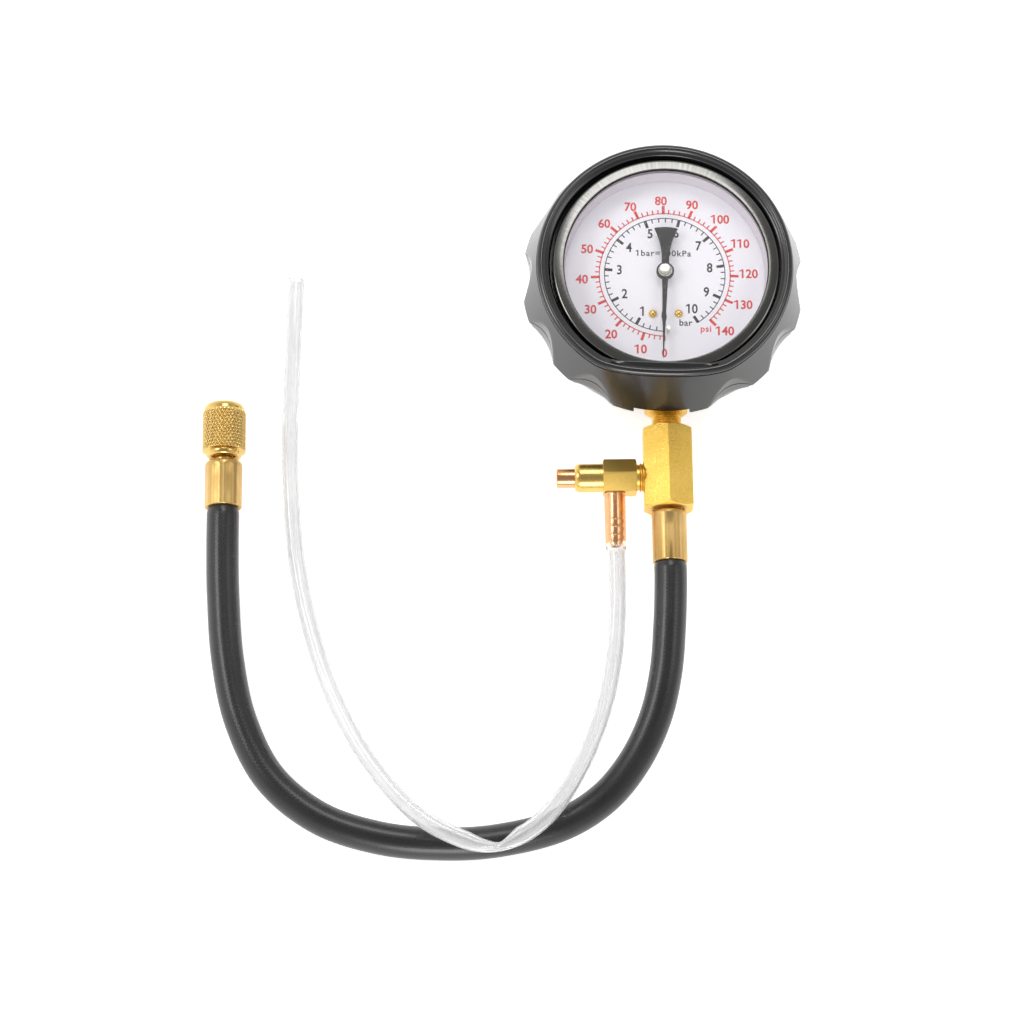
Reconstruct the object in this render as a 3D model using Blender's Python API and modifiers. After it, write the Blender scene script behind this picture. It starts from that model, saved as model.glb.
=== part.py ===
"""Fuel pressure tester: a bottom-entry dial gauge in a rubber boot, a brass tee with a
press-to-bleed valve and drain tube, and a black hose that ends in a knurled coupler.

The gauge lies on its back: +Z is the way the dial faces, the stem and the tee run along -Y,
and the pointer turns about the Z axis through the origin. z = 0 is the back of the boot.
"""
import math

import bmesh
import bpy
from mathutils import Matrix, Vector

mm = 0.001

# Clearances
GAP = 0.3 * mm            # between pieces that touch on the real tester
STACK_GAP = 0.2 * mm      # between the thin rings stacked under the bezel
MESH_GAP = 0.08 * mm      # play of the tiny gear teeth

# Rubber boot
BOOT_FLOOR = 3.0 * mm
BOOT_RIM_WALL = 6.25 * mm         # rim of the boot, out from the case
BOOT_FLARE = 4.6 * mm            # widest plane, out from the rim
BOOT_SHIFT_X = -0.4 * mm         # the soft outside sits a little off the case's axis
BOOT_SHIFT_Y = 0.3 * mm
BOOT_FLARE_DROP = 17.6 * mm      # from the rim plane down to the widest plane
BOOT_RIDGE_INSET = 1.9 * mm      # ridge of the lip, in from the rim
BOOT_LIP_RISE = 0.8 * mm         # ridge above the bezel face
BOOT_BACK_INSET = 0.2 * mm       # edge of the back, in from the case
BOOT_TWIST = math.radians(-2.3)  # the boot sits turned on its case
SCALLOP_COUNT = 12               # places round the boot, the one at the stem stays full
SCALLOP_HALF_ANGLE = math.radians(10.4)
SCALLOP_DEPTH = 2.5 * mm         # at the widest plane
SCALLOP_DRAFT = 0.06             # lean of a scallop's face towards the rim
TAB_HALF_ANGLE = math.radians(27.0)
TAB_SETBACK = 0.4 * mm           # middle of the tab's straight edge, out from the opening
TAB_THICKNESS = 0.45 * mm
SLOT_HALF_WIDTH = 9.3 * mm

# Case, bezel and what they hold
CASE_RADIUS = 36.4 * mm
CASE_WALL = 0.8 * mm
CASE_FILLET = 2.0 * mm
DIAL_LEVEL = 26.5 * mm           # printed face of the dial
DIAL_THICKNESS = 0.6 * mm
SPACER_HEIGHT = 6.2 * mm
SPACER_OVERHANG = 0.6 * mm       # spacer, in from the bezel's opening
SPACER_DRAFT = 0.5 * mm
WINDOW_THICKNESS = 1.8 * mm
GASKET_THICKNESS = 0.35 * mm
GASKET_OVERHANG = 0.25 * mm      # gasket, in from the bezel's opening
BEZEL_LAND = 2.4 * mm            # opening of the bezel, in from the case
BEZEL_SHEET = 0.7 * mm
BEZEL_SKIRT = 4.6 * mm

# Stem and socket
STEM_HEIGHT = 13.4 * mm          # stem axis above the back of the boot
STEM_SQUARE = 14.0 * mm
STEM_SQUARE_REACH = 7.9 * mm     # end of the wrench square, out from the case
STEM_CONE_LENGTH = 1.5 * mm
STEM_THREAD_RADIUS = 4.85 * mm
STEM_PASSAGE_RADIUS = 1.5 * mm
SOCKET_HALF_WIDTH = 6.5 * mm
SOCKET_TOP = 16.0 * mm
SOCKET_NEAR = 13.0 * mm          # end of the socket that is nearest to the pointer axis
SOCKET_SETBACK = 3.0 * mm        # far end of the socket, in from the case's wall

# Bourdon tube
TUBE_RADIUS = 22.0 * mm
TUBE_HEIGHT = 9.0 * mm
TUBE_WIDTH = 3.0 * mm
TUBE_WALL = 0.5 * mm
TUBE_ROOT_ANGLE = math.radians(-111.3)
TUBE_TIP_ANGLE = math.radians(-30.2)
TIP_PIVOT = Vector((17.4 * mm, -11.5 * mm))
TIP_SWING_CENTRE = Vector((4.0 * mm, 12.0 * mm))

# Movement
PLATE_THICKNESS = 1.0 * mm
PLATE_SPACING = 5.0 * mm
GEAR_MODULE = 0.3 * mm
PINION_TEETH = 10
SECTOR_RATIO = 8
SECTOR_TOOTH_COUNT = 13
SECTOR_BEARING = math.radians(-40.0)   # of the sector's pivot, seen from the pointer axis
SECTOR_THICKNESS = 1.0 * mm
TAIL_RADIUS = 5.0 * mm
TAIL_BEARING = math.radians(-100.0)
ARBOR_RADIUS = 0.8 * mm
PIVOT_RADIUS = 0.45 * mm
PIVOT_CLEARANCE = 0.3 * mm
COLUMN_RADIUS = 1.4 * mm
LINK_THICKNESS = 0.6 * mm
HAIRSPRING_TURNS = 3
HAIRSPRING_WIRE = 0.3 * mm

# Pointer and dial fixings
POINTER_REST = math.radians(2.5)       # clockwise from straight down
POINTER_LEVEL = 29.4 * mm
POINTER_THICKNESS = 0.6 * mm
POINTER_REACH = 30.5 * mm
POINTER_TAIL = 15.6 * mm
POINTER_TAIL_WIDTH = 7.6 * mm
POINTER_HUB_RADIUS = 2.95 * mm
BUSHING_RADIUS = 2.15 * mm
DIAL_SCREW_X = 4.3 * mm
DIAL_SCREW_Y = 14.0 * mm
DIAL_SCREW_HEAD_RADIUS = 1.35 * mm
STOP_PIN_RADIUS = 0.6 * mm
STOP_PIN_X = 0.55 * mm
STOP_PIN_Y = 20.3 * mm

# Tee
TEE_SETBACK = 5.8 * mm           # tee, out from the end of the wrench square
TEE_LENGTH = 28.3 * mm
TEE_ACROSS_FLATS = 16.0 * mm
TEE_CHAMFER = 0.9 * mm
THREAD_DEPTH = 8.7 * mm          # of the stem in the tee
LOWER_THREAD_DEPTH = 6.0 * mm
TEE_PASSAGE_RADIUS = 1.75 * mm

# Bleed valve, measured from the tee's axis
VALVE_OFFSET = 16.8 * mm         # from the top of the tee
VALVE_HEX_START = 10.5 * mm
VALVE_HEX_LENGTH = 11.1 * mm
VALVE_ACROSS_FLATS = 11.0 * mm
VALVE_SLEEVE_LENGTH = 9.4 * mm
VALVE_SLEEVE_RADIUS = 4.83 * mm
VALVE_NECK_DEPTH = 5.1 * mm
SEAT_START = 12.6 * mm
SEAT_THICKNESS = 2.4 * mm
SEAT_BORE_RADIUS = 1.5 * mm
BUTTON_RADIUS = 3.28 * mm
BUTTON_REACH = 6.1 * mm          # of the button out of its sleeve
BUTTON_TRAVEL = 3.0 * mm
BUTTON_STEM_RADIUS = 1.1 * mm
SPRING_TURNS = 4
SPRING_WIRE = 0.5 * mm

# Drain barb and the end of the drain tube
BARB_OFFSET = 17.8 * mm          # from the tee's axis
BARB_LENGTH = 18.1 * mm          # out of the valve's flat
BARB_RADIUS = 2.45 * mm
BARB_RIDGE = 0.35 * mm
BARB_BORE_RADIUS = 1.2 * mm
DRAIN_TUBE_RADIUS = 2.95 * mm
DRAIN_COLLAR_RADIUS = 3.65 * mm

# Hose, its ferrules and its coupler
HOSE_RADIUS = 5.4 * mm
HOSE_CRIMPED_RADIUS = 4.6 * mm
UPPER_FERRULE_LENGTH = 17.5 * mm
LOWER_FERRULE_LENGTH = 15.8 * mm
FERRULE_SETBACK = 0.5 * mm       # upper ferrule, out from the tee
UPPER_FERRULE_RADIUS = 5.87 * mm
LOWER_FERRULE_RADIUS = 6.19 * mm
FERRULE_LIP = 1.4 * mm
INSERT_NECK_RADIUS = 3.0 * mm
INSERT_TAIL_RADIUS = 2.2 * mm
INSERT_TAIL_LENGTH = 13.5 * mm
INSERT_BORE_RADIUS = 1.2 * mm
COUPLER_X = -148.0 * mm
COUPLER_HEIGHT = 7.1 * mm
COUPLER_MOUTH = 38.1 * mm        # distance of the open end from the pointer axis, along -Y
COUPLER_RADIUS = 7.25 * mm
COUPLER_LENGTH = 18.6 * mm
COUPLER_KNURL_START = 2.6 * mm
COUPLER_KNURL_END = 16.5 * mm
COUPLER_COLLAR_RADIUS = 5.9 * mm
COUPLER_SOCKET_RADIUS = 5.0 * mm
COUPLER_REAR_BORE = 3.95 * mm
FLANGE_RADIUS = 4.65 * mm
LOWER_FERRULE_START = 58.3 * mm

# Routes of the two cords, chosen by hand along their centre lines, in mm
HOSE_ROUTE = (
    (0.0, -80.9, 13.4), (0.0, -88.0, 13.4), (0.0, -95.5, 13.4), (0.0, -103.0, 13.3),
    (-0.7, -117.4, 12.6), (-2.3, -133.1, 10.9), (-6.2, -148.2, 8.9), (-13.3, -162.1, 7.0),
    (-23.5, -173.8, 5.8), (-38.0, -182.3, 5.5), (-58.0, -187.0, 5.5), (-76.4, -187.8, 5.5),
    (-95.8, -185.7, 5.5), (-115.5, -178.9, 5.5), (-131.6, -165.5, 5.5), (-141.3, -146.4, 5.5),
    (-145.9, -125.4, 5.6), (-147.6, -104.0, 6.2), (-148.0, -88.0, 6.9), (-148.0, -76.0, 7.1),
    (-148.0, -68.0, 7.1), (-148.0, -60.9, 7.1),
)
DRAIN_ROUTE = (
    (-17.8, -72.75, 13.4), (-17.8, -82.0, 13.4), (-17.7, -90.6, 13.4), (-17.5, -99.0, 13.4),
    (-17.9, -115.0, 13.4), (-19.7, -131.2, 13.4), (-23.6, -147.2, 13.5), (-30.1, -163.1, 13.8),
    (-38.5, -176.6, 14.3), (-47.1, -184.5, 14.5), (-56.9, -188.2, 14.6), (-67.5, -187.9, 14.6),
    (-81.0, -181.6, 14.2), (-92.3, -170.8, 13.0), (-103.0, -155.5, 10.9), (-111.8, -137.1, 8.4),
    (-118.0, -118.0, 6.0), (-122.4, -99.0, 4.2), (-124.8, -81.0, 3.3), (-126.0, -61.1, 3.05),
    (-126.2, -44.2, 3.05), (-125.7, -27.0, 3.05), (-125.2, -9.8, 3.05), (-124.5, 8.4, 3.05),
)
CORD_LEAD = 8.0 * mm    # straight run of a cord past its fitting
HOSE_STEP = 1.4      # diameters between the points of the swept tube
DRAIN_STEP = 2.2

# Sizes that follow from the ones above
BOOT_RIM_RADIUS = CASE_RADIUS + BOOT_RIM_WALL
BOOT_FLARE_RADIUS = BOOT_RIM_RADIUS + BOOT_FLARE
BOOT_BACK_RADIUS = CASE_RADIUS - BOOT_BACK_INSET
CASE_BACK = BOOT_FLOOR + GAP
CASE_INNER_RADIUS = CASE_RADIUS - CASE_WALL
BEZEL_OPENING_RADIUS = CASE_RADIUS - BEZEL_LAND
GASKET_INNER_RADIUS = BEZEL_OPENING_RADIUS - GASKET_OVERHANG
SPACER_INNER_RADIUS = BEZEL_OPENING_RADIUS - SPACER_OVERHANG
TAB_INNER_RADIUS = BEZEL_OPENING_RADIUS + TAB_SETBACK
SOCKET_FAR = CASE_INNER_RADIUS - SOCKET_SETBACK
STEM_SQUARE_END = CASE_RADIUS + STEM_SQUARE_REACH
TEE_START = STEM_SQUARE_END + TEE_SETBACK
RING_OUTER_RADIUS = CASE_INNER_RADIUS - GAP
SPACER_LOW = DIAL_LEVEL + STACK_GAP
WINDOW_LOW = SPACER_LOW + SPACER_HEIGHT + STACK_GAP
GASKET_LOW = WINDOW_LOW + WINDOW_THICKNESS + STACK_GAP / 2
BEZEL_UNDERSIDE = GASKET_LOW + GASKET_THICKNESS + STACK_GAP / 2
BEZEL_TOP = BEZEL_UNDERSIDE + BEZEL_SHEET
BEZEL_RADIUS = CASE_RADIUS + GAP + BEZEL_SHEET + 0.2 * mm
CASE_RIM = WINDOW_LOW + WINDOW_THICKNESS - 0.6 * mm
BOOT_HEIGHT = BEZEL_TOP + BOOT_LIP_RISE
BOOT_WIDE_LEVEL = BOOT_HEIGHT - BOOT_FLARE_DROP
BOOT_BORE = CASE_RADIUS + GAP
BOOT_HEAD_BORE = BEZEL_RADIUS + GAP
SLOT_TOP = STEM_HEIGHT + STEM_SQUARE / 2 + 0.5 * mm
SLOT_BOTTOM = STEM_HEIGHT - STEM_SQUARE / 2 - 0.5 * mm
THREAD_BORE_RADIUS = STEM_THREAD_RADIUS + GAP
TEE_END = TEE_START + TEE_LENGTH
VALVE_S = TEE_START + VALVE_OFFSET
VALVE_HEX_END = VALVE_HEX_START + VALVE_HEX_LENGTH
VALVE_END = VALVE_HEX_END + VALVE_SLEEVE_LENGTH
BARB_ROOT_S = VALVE_S + VALVE_ACROSS_FLATS / 2
SPRING_BORE_RADIUS = VALVE_SLEEVE_RADIUS - 0.7 * mm
BUTTON_SHOULDER = VALVE_END - 1.35 * mm - GAP
LOWER_PLATE_LOW = SOCKET_TOP + GAP
LOWER_PLATE_TOP = LOWER_PLATE_LOW + PLATE_THICKNESS
UPPER_PLATE_LOW = LOWER_PLATE_TOP + PLATE_SPACING
UPPER_PLATE_TOP = UPPER_PLATE_LOW + PLATE_THICKNESS
SECTOR_LOW = LOWER_PLATE_TOP + 1.0 * mm
SECTOR_TOP = SECTOR_LOW + SECTOR_THICKNESS
LINK_LOW = SECTOR_TOP + GAP
DIAL_LOW = DIAL_LEVEL - DIAL_THICKNESS
PINION_PITCH = GEAR_MODULE * PINION_TEETH / 2
SECTOR_PITCH = PINION_PITCH * SECTOR_RATIO
SECTOR_PIVOT = Vector((math.cos(SECTOR_BEARING), math.sin(SECTOR_BEARING))) * (
    PINION_PITCH + SECTOR_PITCH)
TAIL_PIVOT = SECTOR_PIVOT + Vector((math.cos(TAIL_BEARING), math.sin(TAIL_BEARING))) * TAIL_RADIUS
COLUMN_PLACES = (
    Vector((-DIAL_SCREW_X, -DIAL_SCREW_Y)),
    Vector((DIAL_SCREW_X, -DIAL_SCREW_Y)),
    Vector((13.5 * mm, -1.5 * mm)),
)
CASE_SCREW_X = 3.6 * mm
CASE_SCREW_Y = SOCKET_FAR - 7.1 * mm
CASE_SCREW_HEAD_RADIUS = 2.4 * mm
CASE_SCREW_HEAD_HEIGHT = 1.1 * mm
MOVEMENT_SCREW_X = 3.6 * mm
MOVEMENT_SCREW_Y = 17.4 * mm
COUPLER_INSERT_START = COUPLER_MOUTH + 13.1 * mm
UPPER_INSERT_START = TEE_END - LOWER_THREAD_DEPTH
UPPER_FERRULE_START = TEE_END + FERRULE_SETBACK

# Directions of the turned pieces: local Z becomes the piece's own axis
ALONG_STEM = Matrix.Rotation(math.radians(90), 4, "X")       # local Z to -Y, local Y to +Z
ALONG_VALVE = Matrix.Rotation(math.radians(-90), 4, "Y")     # local Z to -X, local X to +Z
STEM_AXIS = Matrix.Translation((0, 0, STEM_HEIGHT)) @ ALONG_STEM
VALVE_AXIS = Matrix.Translation((0, -VALVE_S, STEM_HEIGHT)) @ ALONG_VALVE
BARB_AXIS = Matrix.Translation((-BARB_OFFSET, 0, STEM_HEIGHT)) @ ALONG_STEM
COUPLER_AXIS = Matrix.Translation((COUPLER_X, 0, COUPLER_HEIGHT)) @ ALONG_STEM

LARGE_SIDE_COUNT = 36   # sides of the large turned pieces
SMALL_SIDE_COUNT = 16   # sides of the fittings
TINY_SIDE_COUNT = 8     # sides of pins and screws


def clear_scene():
    for obj in list(bpy.data.objects):
        bpy.data.objects.remove(obj, do_unlink=True)


def new_collection(name):
    collection = bpy.data.collections.new(name)
    bpy.context.scene.collection.children.link(collection)
    return collection


clear_scene()
PARTS = new_collection("fuel_pressure_tester")
CUTTERS = new_collection("cutters")
CUTTERS.hide_render = True


def make_material(name, colour, roughness, metallic=0.0, alpha=1.0):
    material = bpy.data.materials.new(name)
    material.use_nodes = True
    shader = material.node_tree.nodes["Principled BSDF"]
    shader.inputs["Base Color"].default_value = (*colour, 1.0)
    shader.inputs["Roughness"].default_value = roughness
    shader.inputs["Metallic"].default_value = metallic
    shader.inputs["Alpha"].default_value = alpha
    return material


BLACK_RUBBER = (0.055, 0.055, 0.058)
BRASS = (0.80, 0.57, 0.22)
STEEL = (0.62, 0.61, 0.59)


def add_object(name, data, place=None, collection=None):
    obj = bpy.data.objects.new(name, data)
    (collection or PARTS).objects.link(obj)
    obj.matrix_world = place or Matrix()
    return obj


def hide_cutter(obj):
    PARTS.objects.unlink(obj)
    CUTTERS.objects.link(obj)
    obj.hide_render = True
    obj.display_type = "WIRE"
    return obj


def turned(name, points, sides=SMALL_SIDE_COUNT, place=None, start_angle=0.0):
    """Turns (radius, level) points about the local Z axis.

    The points run up the inner side and down the outer side. Ends on the axis leave
    the piece solid, and other ends are joined into a ring.
    """
    mesh = bpy.data.meshes.new(name)
    edges = [(i, i + 1) for i in range(len(points) - 1)]
    if points[0][0] > 1e-9:
        edges.append((len(points) - 1, 0))
    turn = Matrix.Rotation(start_angle, 4, "Z")
    mesh.from_pydata([turn @ Vector((r, 0, z)) for r, z in points], edges, [])
    obj = add_object(name, mesh, place)
    screw = obj.modifiers.new("turn", "SCREW")
    screw.steps = sides
    screw.render_steps = sides
    screw.use_merge_vertices = True
    screw.merge_threshold = 0.000001
    screw.use_smooth_shade = True
    return obj


def rod(name, radius, low, high, sides=SMALL_SIDE_COUNT, place=None, start_angle=0.0):
    return turned(name, [(0, high), (radius, high), (radius, low), (0, low)], sides, place,
                  start_angle)


def box(name, low, high, place=None):
    mesh = bpy.data.meshes.new(name)
    bm = bmesh.new()
    bmesh.ops.create_cube(bm, size=1.0)
    size = Vector(high) - Vector(low)
    centre = (Vector(high) + Vector(low)) / 2
    bmesh.ops.scale(bm, vec=size, verts=bm.verts)
    bmesh.ops.translate(bm, vec=centre, verts=bm.verts)
    bm.to_mesh(mesh)
    bm.free()
    return add_object(name, mesh, place)


def plate(name, outline, low, high, place=None, holes=()):
    """Extrudes a flat outline, with round holes given as (centre, radius)."""
    curve = bpy.data.curves.new(name, "CURVE")
    curve.dimensions = "2D"
    curve.fill_mode = "BOTH"
    curve.extrude = (high - low) / 2
    loops = [outline]
    for centre, radius in holes:
        loops.append([centre + Vector((math.cos(a), math.sin(a))) * radius
                      for a in (math.tau * i / TINY_SIDE_COUNT for i in range(TINY_SIDE_COUNT))])
    for loop in loops:
        spline = curve.splines.new("POLY")
        spline.points.add(len(loop) - 1)
        for point, spot in zip(spline.points, loop):
            point.co = (spot[0], spot[1], 0.0, 1.0)
        spline.use_cyclic_u = True
    shift = Matrix.Translation((0, 0, (high + low) / 2))
    return curve_to_mesh(add_object(name + "_outline", curve, (place or Matrix()) @ shift), name)


def curve_to_mesh(curve_object, name):
    """Makes a closed mesh of a curve object and removes the curve."""
    depsgraph = bpy.context.evaluated_depsgraph_get()
    mesh = bpy.data.meshes.new_from_object(curve_object.evaluated_get(depsgraph))
    bm = bmesh.new()
    bm.from_mesh(mesh)
    bmesh.ops.remove_doubles(bm, verts=bm.verts, dist=0.000001)
    bmesh.ops.recalc_face_normals(bm, faces=bm.faces)
    bm.to_mesh(mesh)
    bm.free()
    obj = add_object(name, mesh, curve_object.matrix_world.copy())
    mesh.name = name
    bpy.data.objects.remove(curve_object, do_unlink=True)
    return obj


def loft(name, rings, place=None):
    """Bridges rings of equally many points and closes both ends."""
    bm = bmesh.new()
    rows = [[bm.verts.new(point) for point in ring] for ring in rings]
    count = len(rows[0])
    for near, far in zip(rows, rows[1:]):
        for i in range(count):
            j = (i + 1) % count
            bm.faces.new((near[i], near[j], far[j], far[i]))
    bm.faces.new(rows[0][::-1])
    bm.faces.new(rows[-1])
    bmesh.ops.recalc_face_normals(bm, faces=bm.faces)
    mesh = bpy.data.meshes.new(name)
    bm.to_mesh(mesh)
    bm.free()
    return add_object(name, mesh, place)


def wire(name, points, radius, resolution=2, radii=None, place=None):
    """Sweeps a round section along points, which may carry their own radii."""
    curve = bpy.data.curves.new(name, "CURVE")
    curve.dimensions = "3D"
    curve.bevel_depth = radius
    curve.bevel_resolution = resolution
    curve.use_fill_caps = True
    spline = curve.splines.new("POLY")
    spline.points.add(len(points) - 1)
    for i, spot in enumerate(points):
        spline.points[i].co = (*spot, 1.0)
        if radii:
            spline.points[i].radius = radii[i] / radius
    return curve_to_mesh(add_object(name + "_path", curve, place), name)


def cut(target, cutter, operation="DIFFERENCE"):
    modifier = target.modifiers.new(operation.lower(), "BOOLEAN")
    modifier.operation = operation
    modifier.solver = "EXACT"
    modifier.object = hide_cutter(cutter)


def finish(obj, colour, roughness, metallic=0.0, alpha=1.0, sharp=35):
    """Applies the piece's modifiers, shades it and gives it its material."""
    bpy.context.view_layer.update()
    depsgraph = bpy.context.evaluated_depsgraph_get()
    mesh = bpy.data.meshes.new_from_object(obj.evaluated_get(depsgraph))
    obj.modifiers.clear()
    obj.data = mesh
    mesh.name = obj.name
    mesh.shade_smooth()
    mesh.set_sharp_from_angle(angle=math.radians(sharp))
    mesh.materials.clear()
    mesh.materials.append(make_material(obj.name, colour, roughness, metallic, alpha))
    return obj


def smooth_route(points, step):
    """Reads points at even steps from a smooth curve through the given ones, in metres."""
    spots = [Vector(p) * mm for p in points]
    spots = [2 * spots[0] - spots[1]] + spots + [2 * spots[-1] - spots[-2]]
    fine = []
    for a, b, c, d in zip(spots, spots[1:], spots[2:], spots[3:]):
        for i in range(16):
            t = i / 16
            fine.append(0.5 * (2 * b + (c - a) * t + (2 * a - 5 * b + 4 * c - d) * t ** 2
                               + (3 * b - a - 3 * c + d) * t ** 3))
    fine.append(spots[-2])
    lengths = [0.0]
    for p, q in zip(fine, fine[1:]):
        lengths.append(lengths[-1] + (q - p).length)
    count = max(2, round(lengths[-1] / step))
    route = []
    k = 0
    for i in range(count + 1):
        target = lengths[-1] * i / count
        while k < len(fine) - 2 and lengths[k + 1] < target:
            k += 1
        share = (target - lengths[k]) / (lengths[k + 1] - lengths[k])
        route.append(fine[k].lerp(fine[k + 1], share))
    return route


def arc_points(radius, start, end, count, centre=Vector((0, 0))):
    return [centre + Vector((math.cos(start + (end - start) * i / count),
                             math.sin(start + (end - start) * i / count))) * radius
            for i in range(count + 1)]


def hexagon_bar(name, across, low, high, chamfer, place, start_angle=0.0):
    """A hexagon bar whose ends are chamfered on a lathe."""
    corner = across / math.sqrt(3)
    bar = rod(name, corner, low, high, 6, place, start_angle)
    rim = corner - chamfer / math.tan(math.radians(30))
    lathe = turned(name + "_chamfer", [
        (0, high + 0.001 * mm), (rim, high + 0.001 * mm), (corner + GAP, high - chamfer - GAP / 2),
        (corner + GAP, low + chamfer + GAP / 2), (rim, low - 0.001 * mm), (0, low - 0.001 * mm)],
        SMALL_SIDE_COUNT + 4, place)
    cut(bar, lathe, "INTERSECT")
    return bar


def scalloped(radius, angle, level):
    """Radius of the boot's outside at an angle from a scallop's middle."""
    if abs(angle) > SCALLOP_HALF_ANGLE + 0.0001:
        return radius
    deepest = BOOT_FLARE_RADIUS - SCALLOP_DEPTH - SCALLOP_DRAFT * max(0.0, level - BOOT_WIDE_LEVEL)
    half_chord = BOOT_FLARE_RADIUS * math.sin(SCALLOP_HALF_ANGLE)
    rise = BOOT_FLARE_RADIUS * math.cos(SCALLOP_HALF_ANGLE) - deepest
    scoop = (half_chord ** 2 + rise ** 2) / (2 * rise)
    centre = deepest + scoop
    reach = centre * math.cos(angle) - math.sqrt(scoop ** 2 - (centre * math.sin(angle)) ** 2)
    return min(radius, reach)


def make_boot():
    pitch = math.tau / SCALLOP_COUNT
    offsets = [-pitch / 2] + [SCALLOP_HALF_ANGLE * share for share in (-1, -0.5, 0, 0.5, 1)]
    flare = (BOOT_FLARE_RADIUS - BOOT_RIM_RADIUS) / (BOOT_FLARE_DROP - 1.0 * mm)
    rim_level = BOOT_HEIGHT - 1.0 * mm

    def side(level):
        return (BOOT_RIM_RADIUS + flare * (rim_level - level), level)

    drop = rim_level - BOOT_WIDE_LEVEL
    outside = [
        (BOOT_RIM_RADIUS - BOOT_RIDGE_INSET, BOOT_HEIGHT),
        (BOOT_RIM_RADIUS - 0.5 * mm, BOOT_HEIGHT - 0.25 * mm),
        (BOOT_RIM_RADIUS, rim_level),
        side(rim_level - drop * 0.18), side(rim_level - drop * 0.34), side(rim_level - drop * 0.52),
        side(rim_level - drop * 0.76), side(BOOT_WIDE_LEVEL),
        (BOOT_FLARE_RADIUS - 0.8 * mm, BOOT_WIDE_LEVEL - 1.5 * mm),
        (BOOT_BACK_RADIUS + 2.2 * mm, 2.6 * mm),
        (BOOT_BACK_RADIUS + 1.2 * mm, 0.7 * mm),
        (BOOT_BACK_RADIUS, 0.0),
    ]
    lip_under = (BOOT_HEAD_BORE + 0.2 * mm, BEZEL_TOP - 0.5 * mm)
    lip_top = (BOOT_HEAD_BORE + 0.7 * mm, BEZEL_TOP)

    def tab_edge(angle):
        return min(TAB_INNER_RADIUS / math.cos(angle), BOOT_HEAD_BORE + 0.1 * mm)

    rings = []
    for level, radius in (("floor", BOOT_BORE), ("step", BOOT_BORE), ("head", BOOT_HEAD_BORE)):
        z = {"floor": BOOT_FLOOR, "step": BEZEL_TOP - BEZEL_SKIRT - BEZEL_SHEET - GAP,
             "head": BEZEL_TOP - BEZEL_SKIRT - BEZEL_SHEET - GAP}[level]
        rings.append(lambda place, angle, r=radius, z=z: (r, z))
    rings.append(lambda place, angle: lip_under)
    rings.append(lambda place, angle: (
        (tab_edge(angle), BEZEL_TOP + GAP) if abs(angle) < TAB_HALF_ANGLE else lip_under))
    rings.append(lambda place, angle: (
        (tab_edge(angle) + 0.2 * mm, BEZEL_TOP + GAP + TAB_THICKNESS)
        if abs(angle) < TAB_HALF_ANGLE else lip_top))
    inner_count = len(rings)
    for radius, level in outside:
        rings.append(lambda place, angle, r=radius, z=level: (
            r if place == 0 or z < 2.0 * mm or z > rim_level - 0.1 * mm
            else scalloped(r, offsets_at(angle), z), z))

    def offsets_at(angle):
        return (angle + pitch / 2) % pitch - pitch / 2

    columns = []
    for place in range(SCALLOP_COUNT):
        for offset in offsets:
            angle = place * pitch + offset
            if angle > math.pi:
                angle -= math.tau
            columns.append((place, angle))
    points = []
    for number, ring in enumerate(rings):
        row = []
        for place, angle in columns:
            radius, level = ring(place, angle)
            if number == 3 and abs(angle) < TAB_HALF_ANGLE:
                level = BEZEL_TOP + GAP * 0.9
            turn = angle - math.pi / 2 + BOOT_TWIST
            shift = Vector((BOOT_SHIFT_X, BOOT_SHIFT_Y, 0)) if number >= inner_count else Vector()
            row.append(shift + Vector((radius * math.cos(turn), radius * math.sin(turn), level)))
        points.append(row)
    boot = loft("rubber_boot", points)
    slot = box("boot_slot", (-SLOT_HALF_WIDTH, -BOOT_FLARE_RADIUS * 1.2, SLOT_BOTTOM),
               (SLOT_HALF_WIDTH, -BOOT_BORE * 0.8, SLOT_TOP), Matrix.Rotation(BOOT_TWIST, 4, "Z"))
    cut(boot, slot)
    for side_sign in (-1, 1):
        cut(boot, rod(f"boot_pocket_{side_sign}", CASE_SCREW_HEAD_RADIUS + GAP,
                      CASE_BACK - CASE_SCREW_HEAD_HEIGHT - GAP, BOOT_FLOOR + 1.0 * mm, TINY_SIDE_COUNT,
                      Matrix.Translation((side_sign * CASE_SCREW_X, -CASE_SCREW_Y, 0))))
    return finish(boot, BLACK_RUBBER, 0.55, sharp=40)


def make_case():
    floor = CASE_BACK + CASE_WALL
    case = turned("gauge_case", [
        (0, floor), (CASE_INNER_RADIUS - CASE_FILLET, floor), (CASE_INNER_RADIUS, floor + CASE_FILLET),
        (CASE_INNER_RADIUS, CASE_RIM), (CASE_RADIUS, CASE_RIM), (CASE_RADIUS, CASE_BACK + CASE_FILLET),
        (CASE_RADIUS - 0.3 * CASE_FILLET, CASE_BACK + 0.3 * CASE_FILLET),
        (CASE_RADIUS - CASE_FILLET, CASE_BACK), (0, CASE_BACK)], LARGE_SIDE_COUNT)
    reach = STEM_SQUARE / 2 + GAP
    cut(case, box("case_stem_hole", (-reach, -CASE_RADIUS - 4 * mm, STEM_HEIGHT - reach),
                  (reach, -CASE_INNER_RADIUS * 0.8, STEM_HEIGHT + reach)))
    for side_sign in (-1, 1):
        cut(case, rod(f"case_screw_hole_{side_sign}", 1.2 * mm + GAP, CASE_BACK - 1 * mm,
                      floor + 1 * mm, TINY_SIDE_COUNT,
                      Matrix.Translation((side_sign * CASE_SCREW_X, -CASE_SCREW_Y, 0))))
    return finish(case, STEEL, 0.35, 1.0)


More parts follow.
